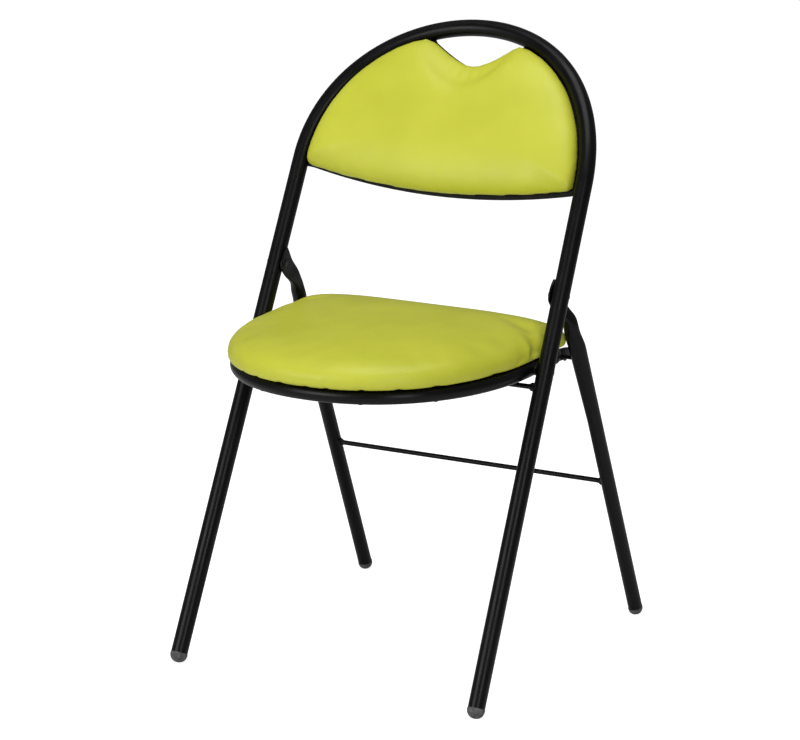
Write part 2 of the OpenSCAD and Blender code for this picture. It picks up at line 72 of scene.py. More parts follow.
camera_data = bpy.data.cameras.new("camera")
camera_data.sensor_width = SENSOR_W
camera_data.lens = FOCAL_PIXELS * SENSOR_W / PICTURE_W
camera_data.clip_end = 100
camera = bpy.data.objects.new("camera", camera_data)
bpy.context.scene.collection.objects.link(camera)
towards_camera = Vector((
    sin(VIEW_SIDE) * cos(VIEW_RISE), -cos(VIEW_SIDE) * cos(VIEW_RISE), sin(VIEW_RISE)
))
camera.rotation_mode = "QUATERNION"
camera.location = VIEW_TARGET + towards_camera * VIEW_DISTANCE
camera.rotation_quaternion = (-towards_camera).to_track_quat("-Z", "Y") @ Quaternion((0, 0, 1), VIEW_ROLL)
bpy.context.scene.camera = camera
bpy.context.scene.view_settings.view_transform = "Standard"
print("camera at", [round(v, 3) for v in camera.location], "lens", round(camera_data.lens, 1))

# %% [markdown]
# The picture is a studio cut-out on white, so the world is white to the camera and dim to the chair.
# More light on the chair would whiten the ground too, but it would bleach the pads. Through Light
# Path the world looks white to the camera at no cost to the light. Reflections aren't part of that
# switch here: they see the dim world and the floor's own colour, and the black tubes stay dark.

# %% World
WORLD_LIGHT = 0.19


def camera_sees(nodes, links):
    """1 for rays from the camera, straight or through glass, and 0 for all other light."""
    path = nodes.new("ShaderNodeLightPath")
    seen = nodes.new("ShaderNodeMath")
    seen.operation = "MAXIMUM"
    links.new(path.outputs["Is Camera Ray"], seen.inputs[0])
    links.new(path.outputs["Is Transmission Ray"], seen.inputs[1])
    return seen.outputs[0]


world = bpy.data.worlds.new("studio")
bpy.context.scene.world = world
world.use_nodes = True
world_nodes, world_links = world.node_tree.nodes, world.node_tree.links
world_nodes.clear()
world_out = world_nodes.new("ShaderNodeOutputWorld")
shown = world_nodes.new("ShaderNodeBackground")
shown.inputs["Strength"].default_value = 1.0
lighting = world_nodes.new("ShaderNodeBackground")
lighting.inputs["Strength"].default_value = WORLD_LIGHT
pick = world_nodes.new("ShaderNodeMixShader")
world_links.new(camera_sees(world_nodes, world_links), pick.inputs[0])
world_links.new(lighting.outputs[0], pick.inputs[1])
world_links.new(shown.outputs[0], pick.inputs[2])
world_links.new(pick.outputs[0], world_out.inputs["Surface"])
for background in (shown, lighting):
    background.inputs["Color"].default_value = (1, 1, 1, 1)
print("world light", WORLD_LIGHT)

# %% [markdown]
# Three large soft lamps light the chair from the front left, the front right and above. Small lamps
# would give hard spots, while these draw the long streaks that make the tubes look round. Each is a
# rectangle aimed at the middle of the chair: its place, its two sizes and its power.

# %% Lamps
LAMPS = [
    ("key", (-1.2, -3.4, 1.5), 2.0, 1.9, 50),
    ("fill", (2.6, -2.6, 1.5), 0.8, 2.4, 27),
    ("top", (0.3, -0.4, 3.2), 2.2, 2.2, 48),
]
LAMP_AIM = Vector((0, 0, 0.42))
for name, place, size_x, size_y, power in LAMPS:
    lamp = bpy.data.lights.new(name, "AREA")
    lamp.shape = "RECTANGLE"
    lamp.size, lamp.size_y, lamp.energy = size_x, size_y, power
    lamp_object = bpy.data.objects.new(name, lamp)
    lamp_object.location = place
    lamp_object.rotation_mode = "QUATERNION"
    lamp_object.rotation_quaternion = (LAMP_AIM - Vector(place)).to_track_quat("-Z", "Y")
    bpy.context.scene.collection.objects.link(lamp_object)
print("lamps", [lamp[0] for lamp in LAMPS])

# %% [markdown]
# Two small helpers are used all the way down. The first turns a bmesh into an object with smooth
# shading, a body to ride on and a slot for its material. The second applies live modifiers.

# %% Object helpers
SHARP_ANGLE = radians(40)


def finished(name, bm, body, material, sharp=SHARP_ANGLE):
    """An object at the origin from a bmesh, smooth except at sharp edges, riding on a body."""
    bmesh.ops.recalc_face_normals(bm, faces=bm.faces)
    for face in bm.faces:
        face.smooth = True
    for edge in bm.edges:
        if len(edge.link_faces) == 2 and edge.calc_face_angle(0) > sharp:
            edge.smooth = False
    mesh = bpy.data.meshes.new(name)
    bm.to_mesh(mesh)
    bm.free()
    mesh.materials.append(material)
    made = bpy.data.objects.new(name, mesh)
    bpy.context.scene.collection.objects.link(made)
    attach(made, body)
    return made


def applied(made):
    """The object with its modifiers turned into mesh."""
    graph = bpy.context.evaluated_depsgraph_get()
    mesh = bpy.data.meshes.new_from_object(made.evaluated_get(graph))
    made.modifiers.clear()
    old = made.data
    made.data = mesh
    bpy.data.meshes.remove(old)
    return made


print("edges sharper than", round(degrees(SHARP_ANGLE)), "degrees stay crisp")

# %% [markdown]
# The floor is one wide flat grid. A plain plane would do on any side of the chair, because the
# world behind it is as white as the floor, and its edge can't be seen.

# %% Floor
FLOOR_HALF = 6.0
floor_mesh = bmesh.new()
bmesh.ops.create_grid(floor_mesh, x_segments=1, y_segments=1, size=FLOOR_HALF)
mesh = bpy.data.meshes.new("floor")
floor_mesh.to_mesh(mesh)
floor_mesh.free()
floor = bpy.data.objects.new("floor", mesh)
bpy.context.scene.collection.objects.link(floor)
print("floor", FLOOR_HALF * 2, "m square")

# %% [markdown]
# Each finish is built from nodes on Object coordinates, so a pattern stays with its piece and keeps
# its real size. An image could do the same, but nodes stay sharp at any distance and need no file.
# The helpers make the shader, a pattern, a number or colour from the pattern, and a bump.

# %% Material helpers
RAMP_ENDS = (0.35, 0.65)


def new_material(name, colour, roughness):
    """A material with its Principled shader, and the node tree's two collections."""
    material = bpy.data.materials.new(name)
    material.use_nodes = True
    nodes, links = material.node_tree.nodes, material.node_tree.links
    shader = nodes["Principled BSDF"]
    shader.inputs["Base Color"].default_value = (*colour, 1)
    shader.inputs["Roughness"].default_value = roughness
    return material, shader, nodes, links


def object_pattern(nodes, links, kind, scale, detail=2.0):
    """A noise or Voronoi pattern in object space, with scale in repeats per metre."""
    place = nodes.new("ShaderNodeTexCoord")
    pattern = nodes.new("ShaderNodeTex" + kind)
    pattern.inputs["Scale"].default_value = scale
    if kind == "Noise":
        pattern.inputs["Detail"].default_value = detail
    links.new(place.outputs["Object"], pattern.inputs["Vector"])
    return pattern


def patchy_gloss(nodes, links, shader, value, low, high):
    """Lets the roughness wander between low and high with a pattern's value."""
    ramp = nodes.new("ShaderNodeMapRange")
    for socket, number in (("From Min", 0.3), ("From Max", 0.7), ("To Min", low), ("To Max", high)):
        ramp.inputs[socket].default_value = number
    links.new(value, ramp.inputs["Value"])
    links.new(ramp.outputs["Result"], shader.inputs["Roughness"])


def colour_between(nodes, links, value, low, high):
    """Maps the middle of a pattern's values onto a colour between low and high."""
    ramp = nodes.new("ShaderNodeValToRGB")
    for element, position, colour in zip(ramp.color_ramp.elements, RAMP_ENDS, (low, high)):
        element.position = position
        element.color = (*colour, 1)
    links.new(value, ramp.inputs["Fac"])
    return ramp.outputs["Color"]


def bumped(nodes, links, shader, height, strength, distance):
    """Feeds a height into the shader's normal; distance is in metres."""
    bump = nodes.new("ShaderNodeBump")
    bump.inputs["Strength"].default_value = strength
    bump.inputs["Distance"].default_value = distance
    links.new(height, bump.inputs["Height"])
    links.new(bump.outputs["Normal"], shader.inputs["Normal"])


print("colour ramps run from", RAMP_ENDS[0], "to", RAMP_ENDS[1], "of a pattern")

# %% [markdown]
# The steel is stove enamelled, a deep black that is glossy but not a mirror. Two fine patterns keep
# it from looking like plastic: a faint orange peel bends the reflections, and wide smears make the
# gloss a little uneven, as hands and cloths do.

# %% Black enamel
ENAMEL_BLACK = (0.002, 0.002, 0.0023)
enamel, shader, nodes, links = new_material("black_enamel", ENAMEL_BLACK, 0.3)
shader.inputs["Specular IOR Level"].default_value = 0.2
peel = object_pattern(nodes, links, "Noise", 420, 3)
bumped(nodes, links, shader, peel.outputs["Fac"], 0.25, 0.00012)
smears = object_pattern(nodes, links, "Noise", 26, 4)
patchy_gloss(nodes, links, shader, smears.outputs["Fac"], 0.26, 0.38)
print("enamel", ENAMEL_BLACK)

# %% [markdown]
# The pads wear a lime-green vinyl. A slow noise moves its colour between two close greens, cells
# about a millimetre apart give the leather grain, and a third noise varies the sheen.

# %% Lime vinyl
VINYL_LOW = (0.545, 0.567, 0.039)
VINYL_HIGH = (0.605, 0.627, 0.050)
vinyl, shader, nodes, links = new_material("lime_vinyl", VINYL_HIGH, 0.45)
shader.inputs["Specular IOR Level"].default_value = 0.4
tone = object_pattern(nodes, links, "Noise", 9, 3)
green = colour_between(nodes, links, tone.outputs["Fac"], VINYL_LOW, VINYL_HIGH)
links.new(green, shader.inputs["Base Color"])
grain = object_pattern(nodes, links, "Voronoi", 900)
bumped(nodes, links, shader, grain.outputs["Distance"], 0.18, 0.00015)
sheen_noise = object_pattern(nodes, links, "Noise", 60, 3)
patchy_gloss(nodes, links, shader, sheen_noise.outputs["Fac"], 0.38, 0.5)
print("vinyl", VINYL_LOW, VINYL_HIGH)

# %% [markdown]
# The boards are plywood stained black, with short raised fibres. The feet are dark rubber, matt and
# dusty. Each has one noise that drives both its colour and its bump, so that the raised places are
# also the paler ones.

# %% Black board and tip rubber
board, shader, nodes, links = new_material("black_board", (0.004, 0.004, 0.0045), 0.6)
shader.inputs["Specular IOR Level"].default_value = 0.2
fibres = object_pattern(nodes, links, "Noise", 240, 5)
bumped(nodes, links, shader, fibres.outputs["Fac"], 0.3, 0.0003)
stain = colour_between(nodes, links, fibres.outputs["Fac"], (0.003, 0.003, 0.0033), (0.008, 0.008, 0.0085))
links.new(stain, shader.inputs["Base Color"])

rubber, shader, nodes, links = new_material("tip_rubber", (0.075, 0.075, 0.08), 0.7)
dust = object_pattern(nodes, links, "Noise", 180, 5)
dusty = colour_between(nodes, links, dust.outputs["Fac"], (0.05, 0.05, 0.055), (0.12, 0.12, 0.125))
links.new(dusty, shader.inputs["Base Color"])
bumped(nodes, links, shader, dust.outputs["Fac"], 0.3, 0.0002)
print("board and rubber made")

# %% [markdown]
# The screws in the back are zinc-plated steel, a metal whose gloss is broken by fine scratches. The
# floor is matt white paper. It glows a little for the camera alone, which hides the line where it
# meets the world, while the light that reaches it from the lamps still draws the chair's shadow.

# %% Zinc steel and floor paper
FLOOR_GLOW = 0.8
zinc, shader, nodes, links = new_material("zinc_steel", (0.42, 0.43, 0.44), 0.38)
shader.inputs["Metallic"].default_value = 1.0
scratches = object_pattern(nodes, links, "Noise", 500, 4)
patchy_gloss(nodes, links, shader, scratches.outputs["Fac"], 0.3, 0.5)

paper, shader, nodes, links = new_material("floor_paper", (0.9, 0.9, 0.9), 0.9)
shader.inputs["Specular IOR Level"].default_value = 0.1
glow = nodes.new("ShaderNodeEmission")
glow.inputs["Strength"].default_value = FLOOR_GLOW
both = nodes.new("ShaderNodeAddShader")
choose = nodes.new("ShaderNodeMixShader")
links.new(camera_sees(nodes, links), choose.inputs[0])
links.new(shader.outputs[0], choose.inputs[1])
links.new(shader.outputs[0], both.inputs[0])
links.new(glow.outputs[0], both.inputs[1])
links.new(both.outputs[0], choose.inputs[2])
links.new(choose.outputs[0], nodes["Material Output"].inputs["Surface"])
floor.data.materials.append(paper)
print("materials", len(bpy.data.materials))

# %% [markdown]
# These are the chair's main sizes, and the points where its joints turn, which come from the frame.
# Every later place is worked out from them, so that the pieces meet as the solids do. The legs lean
# back 27 degrees, and two directions follow from that: up along the legs, and square to them.

# %% The chair's sizes
LEAN = radians(27)
SPLAY = radians(0.88)
LEG_LENGTH = 0.6855
HOOP_R = 0.211
BOW_R = 0.707
MAIN_R = 0.011
REAR_R = 0.0095
SEAT_R = 0.0095
ROD_R = 0.00325
FOOT_FLAT = 0.0005
ACROSS = Vector((1, 0, 0))
UP = Vector((0, 0, 1))
LEG_UP = Vector((0, sin(LEAN), cos(LEAN)))
LEG_BACK = Vector((0, cos(LEAN), -sin(LEAN)))
SEAT_PIVOT = Vector(JOINTS["seat_tip"]["pos_m"])
LEG_PIVOT = Vector(JOINTS["legs_fold"]["pos_m"])
FRONT = Vector((0, SEAT_PIVOT.y - SEAT_PIVOT.z * tan(LEAN), 0))
print("seat turns at", [round(v, 4) for v in SEAT_PIVOT], "legs turn at", [round(v, 4) for v in LEG_PIVOT])

# %% [markdown]
# The main tube has two straight legs that splay a little, and a half circle that joins them. The
# half circle isn't flat: it is rolled backwards, as if laid on a drum of 0.7 m radius. The function
# rolled gives any point of that drum: x across, h up from the middle of the hoop's bend, and f out
# to the front. The hoop, the back board and the back pad all lie on it.

# %% Points of the main tube
def front_at(h):
    """The direction in which the back faces at height h on the drum."""
    turn = max(h, 0) / BOW_R
    return sin(turn) * LEG_UP - cos(turn) * LEG_BACK


def rolled(x, h, f):
    """A point of the rolled back."""
    foot = FRONT + ACROSS * x + LEG_UP * (LEG_LENGTH + min(h, 0)) + LEG_BACK * BOW_R
    return foot + front_at(h) * (BOW_R + f)


def hoop_at(angle):
    """The hoop's middle line; a quarter turn is its top."""
    return rolled(HOOP_R * cos(angle), HOOP_R * sin(angle), 0)


FRONT_FLOOR = FRONT + ACROSS * (HOOP_R / cos(SPLAY) + LEG_LENGTH * tan(SPLAY))
LEG_TOP = hoop_at(SPLAY)
LEG_DIR = (LEG_TOP - FRONT_FLOOR).normalized()


def leg_at(z):
    """The right front leg's middle line at a height."""
    return FRONT_FLOOR + LEG_DIR * (z / LEG_DIR.z)


def flipped(point):
    """The same point on the chair's other side."""
    return Vector((-point.x, point.y, point.z))


print("front foot", [round(v, 4) for v in FRONT_FLOOR])
print("hoop top", [round(v, 4) for v in hoop_at(pi / 2)])

# %% [markdown]
# A bent tube is one ring of edges pushed along a path. At each point of the path extrude makes the
# next ring and a matrix turns it to face along the path. Where the real tube was crushed in a
# press, the rings are pressed to a flat oval afterwards. The first ring's edges are listed in a
# fixed order, where a set would mix them anew each time, so that every run makes the same shape.

# %% Tube helpers
TUBE_SEGMENTS = 48


def place_at(path, i, side):
    """The turn and place of a ring at point i of a path, with its own X towards the side."""
    z = (path[min(i + 1, len(path) - 1)] - path[max(i - 1, 0)]).normalized()
    aim = side(path[i]) if callable(side) else side
    x = (aim - z * aim.dot(z)).normalized()
    return Matrix.Translation(path[i]) @ Matrix((x, z.cross(x), z)).transposed().to_4x4()


def edges_of(verts):
    """The edges at some verts, each once and always in the same order."""
    return list(dict.fromkeys(edge for vert in verts for edge in vert.link_edges))


def swept(bm, path, side, radius):
    """A round tube along a path, closed at both ends; returns each ring's verts and matrix."""
    places = [place_at(path, i, side) for i in range(len(path))]
    verts = bmesh.ops.create_circle(bm, segments=TUBE_SEGMENTS, radius=radius, matrix=places[0])["verts"]
    first_edges = edges = edges_of(verts)
    rings = [(verts, places[0])]
    for old, new in zip(places, places[1:]):
        made = bmesh.ops.extrude_edge_only(bm, edges=edges)["geom"]
        verts = [part for part in made if isinstance(part, bmesh.types.BMVert)]
        edges = [part for part in made if isinstance(part, bmesh.types.BMEdge) and part.is_boundary]
        bmesh.ops.transform(bm, verts=verts, matrix=new @ old.inverted())
        rings.append((verts, new))
    for loop in (first_edges, edges):
        bmesh.ops.edgeloop_fill(bm, edges=loop)
    return rings


def pressed(ring, half_x, half_y, power=2.0):
    """Presses a round ring to an oval; a power above 2 squares its corners."""
    verts, place = ring
    back = place.inverted()
    for vert in verts:
        flat = back @ vert.co
        angle = atan2(flat.y, flat.x)
        x = copysign(half_x * abs(cos(angle)) ** (2 / power), cos(angle))
        y = copysign(half_y * abs(sin(angle)) ** (2 / power), sin(angle))
        vert.co = place @ Vector((x, y, flat.z))


print("tube rings have", TUBE_SEGMENTS, "points")

# %% [markdown]
# Soft changes along a tube need a number that starts and ends gently, a bend needs points on a
# curve, and straight parts need evenly spaced points. Rivets, screws and feet are turned shapes:
# a short profile, spun once round its axis.

# %% Curves and turned shapes
TURN_STEPS = 40


def eased(share):
    """0 to 1 with a soft start and end."""
    share = min(max(share, 0), 1)
    return share * share * (3 - 2 * share)


def curve_through(p, corner, q, steps):
    """Points of the soft bend that leaves p towards the corner and arrives at q."""
    return [
        p * (1 - t) ** 2 + corner * 2 * t * (1 - t) + q * t ** 2
        for t in [i / steps for i in range(steps + 1)]
    ]


def run_of(p, q, steps):
    """Numbers or points from p to q, without q."""
    return [p + (q - p) * (i / steps) for i in range(steps)]


def turned_out(profile, centre, axis, side):
    """A bmesh of a profile of (along, out) pairs, spun once round an axis."""
    bm = bmesh.new()
    out = (side - axis * side.dot(axis)).normalized()
    verts = [bm.verts.new(centre + axis * along + out * reach) for along, reach in profile]
    edges = [bm.edges.new(pair) for pair in zip(verts, verts[1:])]
    bmesh.ops.spin(
        bm, geom=verts + edges, cent=centre, axis=axis, dvec=(0, 0, 0), angle=2 * pi,
        steps=TURN_STEPS, use_merge=True
    )
    bmesh.ops.remove_doubles(bm, verts=bm.verts, dist=0.00002)
    return bm


print("a turned shape has", TURN_STEPS, "steps")

# %% [markdown]
# The main tube: up the left leg, round the hoop, and down the right leg, as one closed form. The
# ring's own X always faces the drum's front, so the tube never twists.

# %% Main tube
HOOP_STEPS = 96
LEG_STEPS = 6
FRONT_FOOT = leg_at(MAIN_R - FOOT_FLAT)


def hoop_front(point):
    """The drum's front at a point of the hoop or legs."""
    return front_at((point - FRONT).dot(LEG_UP) - LEG_LENGTH)


hoop_path = [hoop_at(pi - SPLAY - i * (pi - 2 * SPLAY) / HOOP_STEPS) for i in range(HOOP_STEPS + 1)]
main_path = (
    run_of(flipped(FRONT_FOOT), flipped(LEG_TOP), LEG_STEPS) + hoop_path
    + [LEG_TOP.lerp(FRONT_FOOT, (i + 1) / LEG_STEPS) for i in range(LEG_STEPS)]
)
bm = bmesh.new()
swept(bm, main_path, hoop_front, MAIN_R)
main_tube = finished("main_tube", bm, "main_frame", enamel)
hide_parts("front_frame")
print("main tube", len(main_tube.data.polygons), "faces")

# %% [markdown]
# The rear legs are thinner tube. Each one leans forward from its foot and crosses the front leg just
# inside it, where a rivet joins the two. First come the sizes and the straight line that a leg
# follows, and the place of the seat's pin, which slides in the leg.

# %% Rear leg sizes
REAR_FOOT_X = 0.2121
FOOT_SPREAD = 0.4606
REAR_ANGLE = radians(21.36)
BEND_Z = 0.440
SPADE_HALF_T = 0.0016
SIDE_PLAY = 0.0003
SPADE_OUTER_X = leg_at(LEG_PIVOT.z).x - MAIN_R - SIDE_PLAY
BEND_X = SPADE_OUTER_X - 2 * SPADE_HALF_T + REAR_R
REAR_FLOOR = FRONT + Vector((REAR_FOOT_X, FOOT_SPREAD, 0))
REAR_STEP = Vector(((BEND_X - REAR_FOOT_X) / BEND_Z, -tan(REAR_ANGLE), 1))


def rear_at(z):
    """The right rear leg's straight line at a height."""
    return REAR_FLOOR + REAR_STEP * z


def across_at(point, x):
    """A point moved across the chair to x."""
    return Vector((x, point.y, point.z))


REAR_DIR = REAR_STEP.normalized()
SEAT_Z = 0.396
ARM_DROP = 0.009
PIN_REST = rear_at(SEAT_Z - ARM_DROP)
print("rear foot", [round(v, 4) for v in REAR_FLOOR], "pin at rest", [round(v, 4) for v in PIN_REST])

# %% [markdown]
# Near the top a press crushed each rear leg flat and pushed it inwards and forward to its rivet, so
# it runs in a soft S. Bending the path itself would tilt the rings and wrinkle the short bend. So the
# rings stay on the straight line, and eased shifts slide them into the S, each written as a shift, a
# start height and a length. The flat end is rounded and cut back a little at the rear.

# %% Pressed rear leg
STRAIGHT_Z = 0.395
SPADE_Z = 0.482
SPADE_HALF_W = 0.0137
SPADE_END_L = 0.018
SPADE_SQUARE = 2.5
END_POWER = 1.6
END_THINNEST = 0.002
CUT_BACK = 0.8
CORNER_FULLER = 0.0034
ROUND_STEPS = 14
# Each change along the leg starts at a height and takes a length
FLAT_FROM = (0.430, 0.042)
WIDE_FROM = (0.450, 0.022)
FULLER_FROM = (0.352, 0.05)
FULLER_UNTIL = (0.405, 0.04)
SHIFTS_IN = [(0.003, 0.400, 0.032), (0.0049, 0.440, 0.026)]
SHIFTS_AHEAD = [(0.002, 0.405, 0.02), (0.0192, 0.442, 0.044)]


def begun(place, start, length):
    """The share of a change that is done at a place, from where it starts and its length."""
    return eased((place - start) / length)


def pressed_over(z):
    """How far the press moved the leg's middle line at a height, inwards and forward."""
    inwards = sum(shift * begun(z, start, length) for shift, start, length in SHIFTS_IN)
    ahead = sum(shift * begun(z, start, length) for shift, start, length in SHIFTS_AHEAD)
    return Vector((-inwards, -ahead, 0))


leg_heights = run_of(REAR_R - FOOT_FLAT, STRAIGHT_Z, 4) + run_of(STRAIGHT_Z, SPADE_Z, 36)
leg_path = [rear_at(z) for z in leg_heights] + [
    rear_at(SPADE_Z) + REAR_DIR * SPADE_END_L * sin(i * pi / 2 / ROUND_STEPS)
    for i in range(ROUND_STEPS + 1)
]
SPADE_REARWARD = REAR_DIR.cross(ACROSS).normalized()


def rear_leg_mesh():
    """The right rear leg."""
    bm = bmesh.new()
    rings = swept(bm, leg_path, ACROSS, REAR_R)
    for ring, point in zip(rings, leg_path):
        flat = begun(point.z, *FLAT_FROM)
        half_w = REAR_R + (SPADE_HALF_W - REAR_R) * begun(point.z, *WIDE_FROM)
        past = max((point - rear_at(SPADE_Z)).dot(REAR_DIR) / SPADE_END_L, 0)
        left_over = max(1 - past ** END_POWER, END_THINNEST) ** (1 / END_POWER)
        pressed(ring, REAR_R + (SPADE_HALF_T - REAR_R) * flat, half_w * left_over, 2 + SPADE_SQUARE * flat)
        fuller = CORNER_FULLER * begun(point.z, *FULLER_FROM) * (1 - begun(point.z, *FULLER_UNTIL))
        for vert in ring[0]:
            out = ring[1].inverted() @ vert.co
            if out.x < 0 and out.y < 0:
                vert.co += ring[1].to_3x3() @ out * (fuller * 2 * out.x * out.y / out.length ** 3)
        cut_back = SPADE_REARWARD * SPADE_HALF_W * CUT_BACK * (1 - left_over)
        bmesh.ops.translate(bm, verts=ring[0], vec=pressed_over(point.z) + cut_back)
    return bm


print("rear leg has", len(leg_path), "rings")

# %% [markdown]
# A long slot for the seat's pin is cut into each leg's inner wall. Its shape isn't guessed: a point
# that starts at the pin is turned back with the seat and on with the leg, a little further at each
# step, and the places that it passes are the pin's own way through the leg. A bar swept along that
# way cuts the slot with a Boolean, the plain tool for a hole with crisp walls.

# %% Slot and both rear legs
SEAT_FOLD = radians(JOINTS["seat_tip"]["range_deg"][1])
LEG_FOLD = radians(JOINTS["legs_fold"]["range_deg"][1])
SLOT_HALF_W = 0.003
SLOT_STEPS = 16
CUTTER_X = 0.202
CUTTER_HALF_L = 0.006
CUTTER_SQUARE = 8


def turned(point, pivot, angle):
    """A point turned about a line across the chair."""
    return pivot + Matrix.Rotation(angle, 3, "X") @ (point - pivot)


def slot_cutter():
    """A bar across the inner wall, as long as the pin's way in the right leg."""
    way = []
    for i in range(SLOT_STEPS + 1):
        with_seat = turned(PIN_REST, SEAT_PIVOT, -SEAT_FOLD * i / SLOT_STEPS)
        way.append(across_at(turned(with_seat, LEG_PIVOT, LEG_FOLD * i / SLOT_STEPS), CUTTER_X))
    bm = bmesh.new()
    for ring in swept(bm, way, ACROSS, SLOT_HALF_W):
        pressed(ring, CUTTER_HALF_L, SLOT_HALF_W, CUTTER_SQUARE)
    return bm


for side_name, is_left in (("left", True), ("right", False)):
    bm, cutter = rear_leg_mesh(), slot_cutter()
    if is_left:
        for half in (bm, cutter):
            bmesh.ops.scale(half, vec=(-1, 1, 1), verts=half.verts)
    leg = finished("rear_tube_" + side_name, bm, "rear_legs", enamel)
    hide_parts("rear_leg_" + side_name)
    bmesh.ops.recalc_face_normals(cutter, faces=cutter.faces)
    cutter_mesh = bpy.data.meshes.new("slot_cutter")
    cutter.to_mesh(cutter_mesh)
    cutter.free()
    cutter_object = bpy.data.objects.new("slot_cutter", cutter_mesh)
    bpy.context.scene.collection.objects.link(cutter_object)
    cut = leg.modifiers.new("slot", "BOOLEAN")
    cut.operation, cut.solver, cut.object = "DIFFERENCE", "EXACT", cutter_object
    applied(leg)
    leg.data.set_sharp_from_angle(angle=SHARP_ANGLE)
    bpy.data.objects.remove(cutter_object)
    bpy.data.meshes.remove(cutter_mesh)
print("rear leg", len(leg.data.polygons), "faces")

# %% [markdown]
# Two thin rods hold the legs apart: one between the rear legs, and one under the seat, on which
# the seat tube rests. Each rod swells a little into its welds. The swelling is part of the rod's own
# tube, and a fine noise makes it as uneven as a weld is. The noise gets a seed, because it would
# otherwise start from the clock and give other welds at every run.

# %% Rods
WELD_L = 0.007
WELD_STEPS = 8
WELD_SWELL = 0.75
WELD_POWER = 2.2
WELD_ROUGH = 0.0005
WELD_GRAIN = 420
WELD_SEED = 1
ROD_END_IN = 0.003
noise.seed_set(WELD_SEED)


def welded_rod(name, centre, tube_r, body, replaces):
    """A rod across the chair whose ends widen into weld fillets inside the legs."""
    surface = centre.x - tube_r
    weld = [surface - WELD_L * (1 - i / WELD_STEPS) for i in range(1, WELD_STEPS + 1)]
    stations = [0, surface - WELD_L] + weld + [centre.x - ROD_END_IN]
    xs = [-x for x in reversed(stations[1:])] + stations
    bm = bmesh.new()
    rings = swept(bm, [across_at(centre, x) for x in xs], UP, ROD_R)
    for ring, x in zip(rings, xs):
        flare = min(max((abs(x) - surface + WELD_L) / WELD_L, 0), 1)
        radius = ROD_R * (1 + WELD_SWELL * flare ** WELD_POWER)
        pressed(ring, radius, radius)
    for vert in bm.verts:
        flare = min(max((abs(vert.co.x) - surface + WELD_L) / WELD_L, 0), 1)
        vert.co += noise.noise_vector(vert.co * WELD_GRAIN) * WELD_ROUGH * flare
    rod = finished(name, bm, body, enamel)
    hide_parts(replaces)
    print(name, len(rod.data.polygons), "faces")


STOP_DROP = 0.0175
STOP_AHEAD = 0.0145
CROSS_Z = 0.2045
stop_centre = SEAT_PIVOT + Vector((0, -STOP_AHEAD, -STOP_DROP))
stop_end = across_at(stop_centre, leg_at(SEAT_PIVOT.z).x)
welded_rod("stop_rod_welded", stop_end, MAIN_R, "main_frame", "stop_rod")
welded_rod("cross_rod_welded", rear_at(CROSS_Z), REAR_R, "rear_legs", "rear_cross_rod")

# %% [markdown]
# The seat tube is a D: a round front, nearly straight sides, and two arms that are crushed upright
# and dip towards the rear legs. The front is a squarish oval, whose power says how square it is.
# First its middle line is drawn, from the front round the right side to the end of the arm.

# %% Seat tube line
SEAT_HALF_W = 0.1905
SEAT_FRONT_L = 0.219
RING_POWER = 2.17
TOE_IN = 0.02
ARM_CRUSH_AHEAD = 0.045
ARM_CRUSH_L = 0.022
ARM_HALF_T = 0.003
ARM_HALF_H = 0.0078
ARM_PAST = 0.0125
ARM_DIP = 0.0035
ARM_BEND_AHEAD = 0.012
ARM_SQUARE = 2.5
MID_AHEAD = 0.004
FRONT_STEPS = 44
SEAT_MID = across_at(SEAT_PIVOT, 0) + Vector((0, -MID_AHEAD, 0))


def ring_at(angle):
    """The seat tube's middle line: 0 at the front middle, 90 degrees at the right side."""
    power = 2 / RING_POWER
    x = copysign(SEAT_HALF_W * abs(sin(angle)) ** power, angle)
    return Vector((x, SEAT_MID.y - SEAT_FRONT_L * max(cos(angle), 0) ** power, SEAT_Z))


def side_at(y):
    """The seat tube's right side, which runs a little inwards to the rear."""
    return Vector((SEAT_HALF_W - TOE_IN * (y - SEAT_MID.y), y, SEAT_Z))


arm_start = side_at(PIN_REST.y - ARM_CRUSH_AHEAD)
arm_pin = Vector((arm_start.x, PIN_REST.y, SEAT_Z - ARM_DIP))
arm_corner = Vector((arm_start.x, PIN_REST.y - ARM_BEND_AHEAD, SEAT_Z))
arm_dir = (arm_pin - arm_corner).normalized()
arm_side = run_of(ring_at(pi / 2), arm_start, 5)
arm_bend = curve_through(arm_start, arm_corner, arm_pin, 20)
arm_rest = [
    arm_pin + arm_dir * ARM_PAST * sin(i * pi / 2 / ROUND_STEPS) for i in range(ROUND_STEPS + 1)
]
half_ring = [ring_at(i * pi / 2 / FRONT_STEPS) for i in range(1, FRONT_STEPS)]
right_half = half_ring + arm_side + arm_bend[:-1] + arm_rest
ring_path = [flipped(p) for p in reversed(right_half)] + [ring_at(0)] + right_half
ring_ys = [p.y for p in ring_path]
print("seat tube from", round(min(ring_ys), 4), "to", round(max(ring_ys), 4))

# %% [markdown]
# A round tube is swept along the whole line, with the right half's points flipped for the left.
# Then the arms' rings are pressed upright, and the last ones shrink to a rounded end, as the real
# tube does where it was crushed and trimmed.

# %% Seat tube
bm = bmesh.new()
rings = swept(bm, ring_path, UP, SEAT_R)
for ring, point in zip(rings, ring_path):
    crush = eased((point.y - arm_start.y) / ARM_CRUSH_L)
    past = max(point.y - arm_pin.y, 0) / arm_dir.y / ARM_PAST
    half_h = (SEAT_R + (ARM_HALF_H - SEAT_R) * crush) * sqrt(max(1 - past ** 4, 0.0004))
    pressed(ring, half_h, SEAT_R + (ARM_HALF_T - SEAT_R) * crush, 2 + ARM_SQUARE * crush)
seat_tube = finished("seat_tube", bm, "seat", enamel)
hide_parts("seat_ring")
print("seat tube", len(seat_tube.data.polygons), "faces")

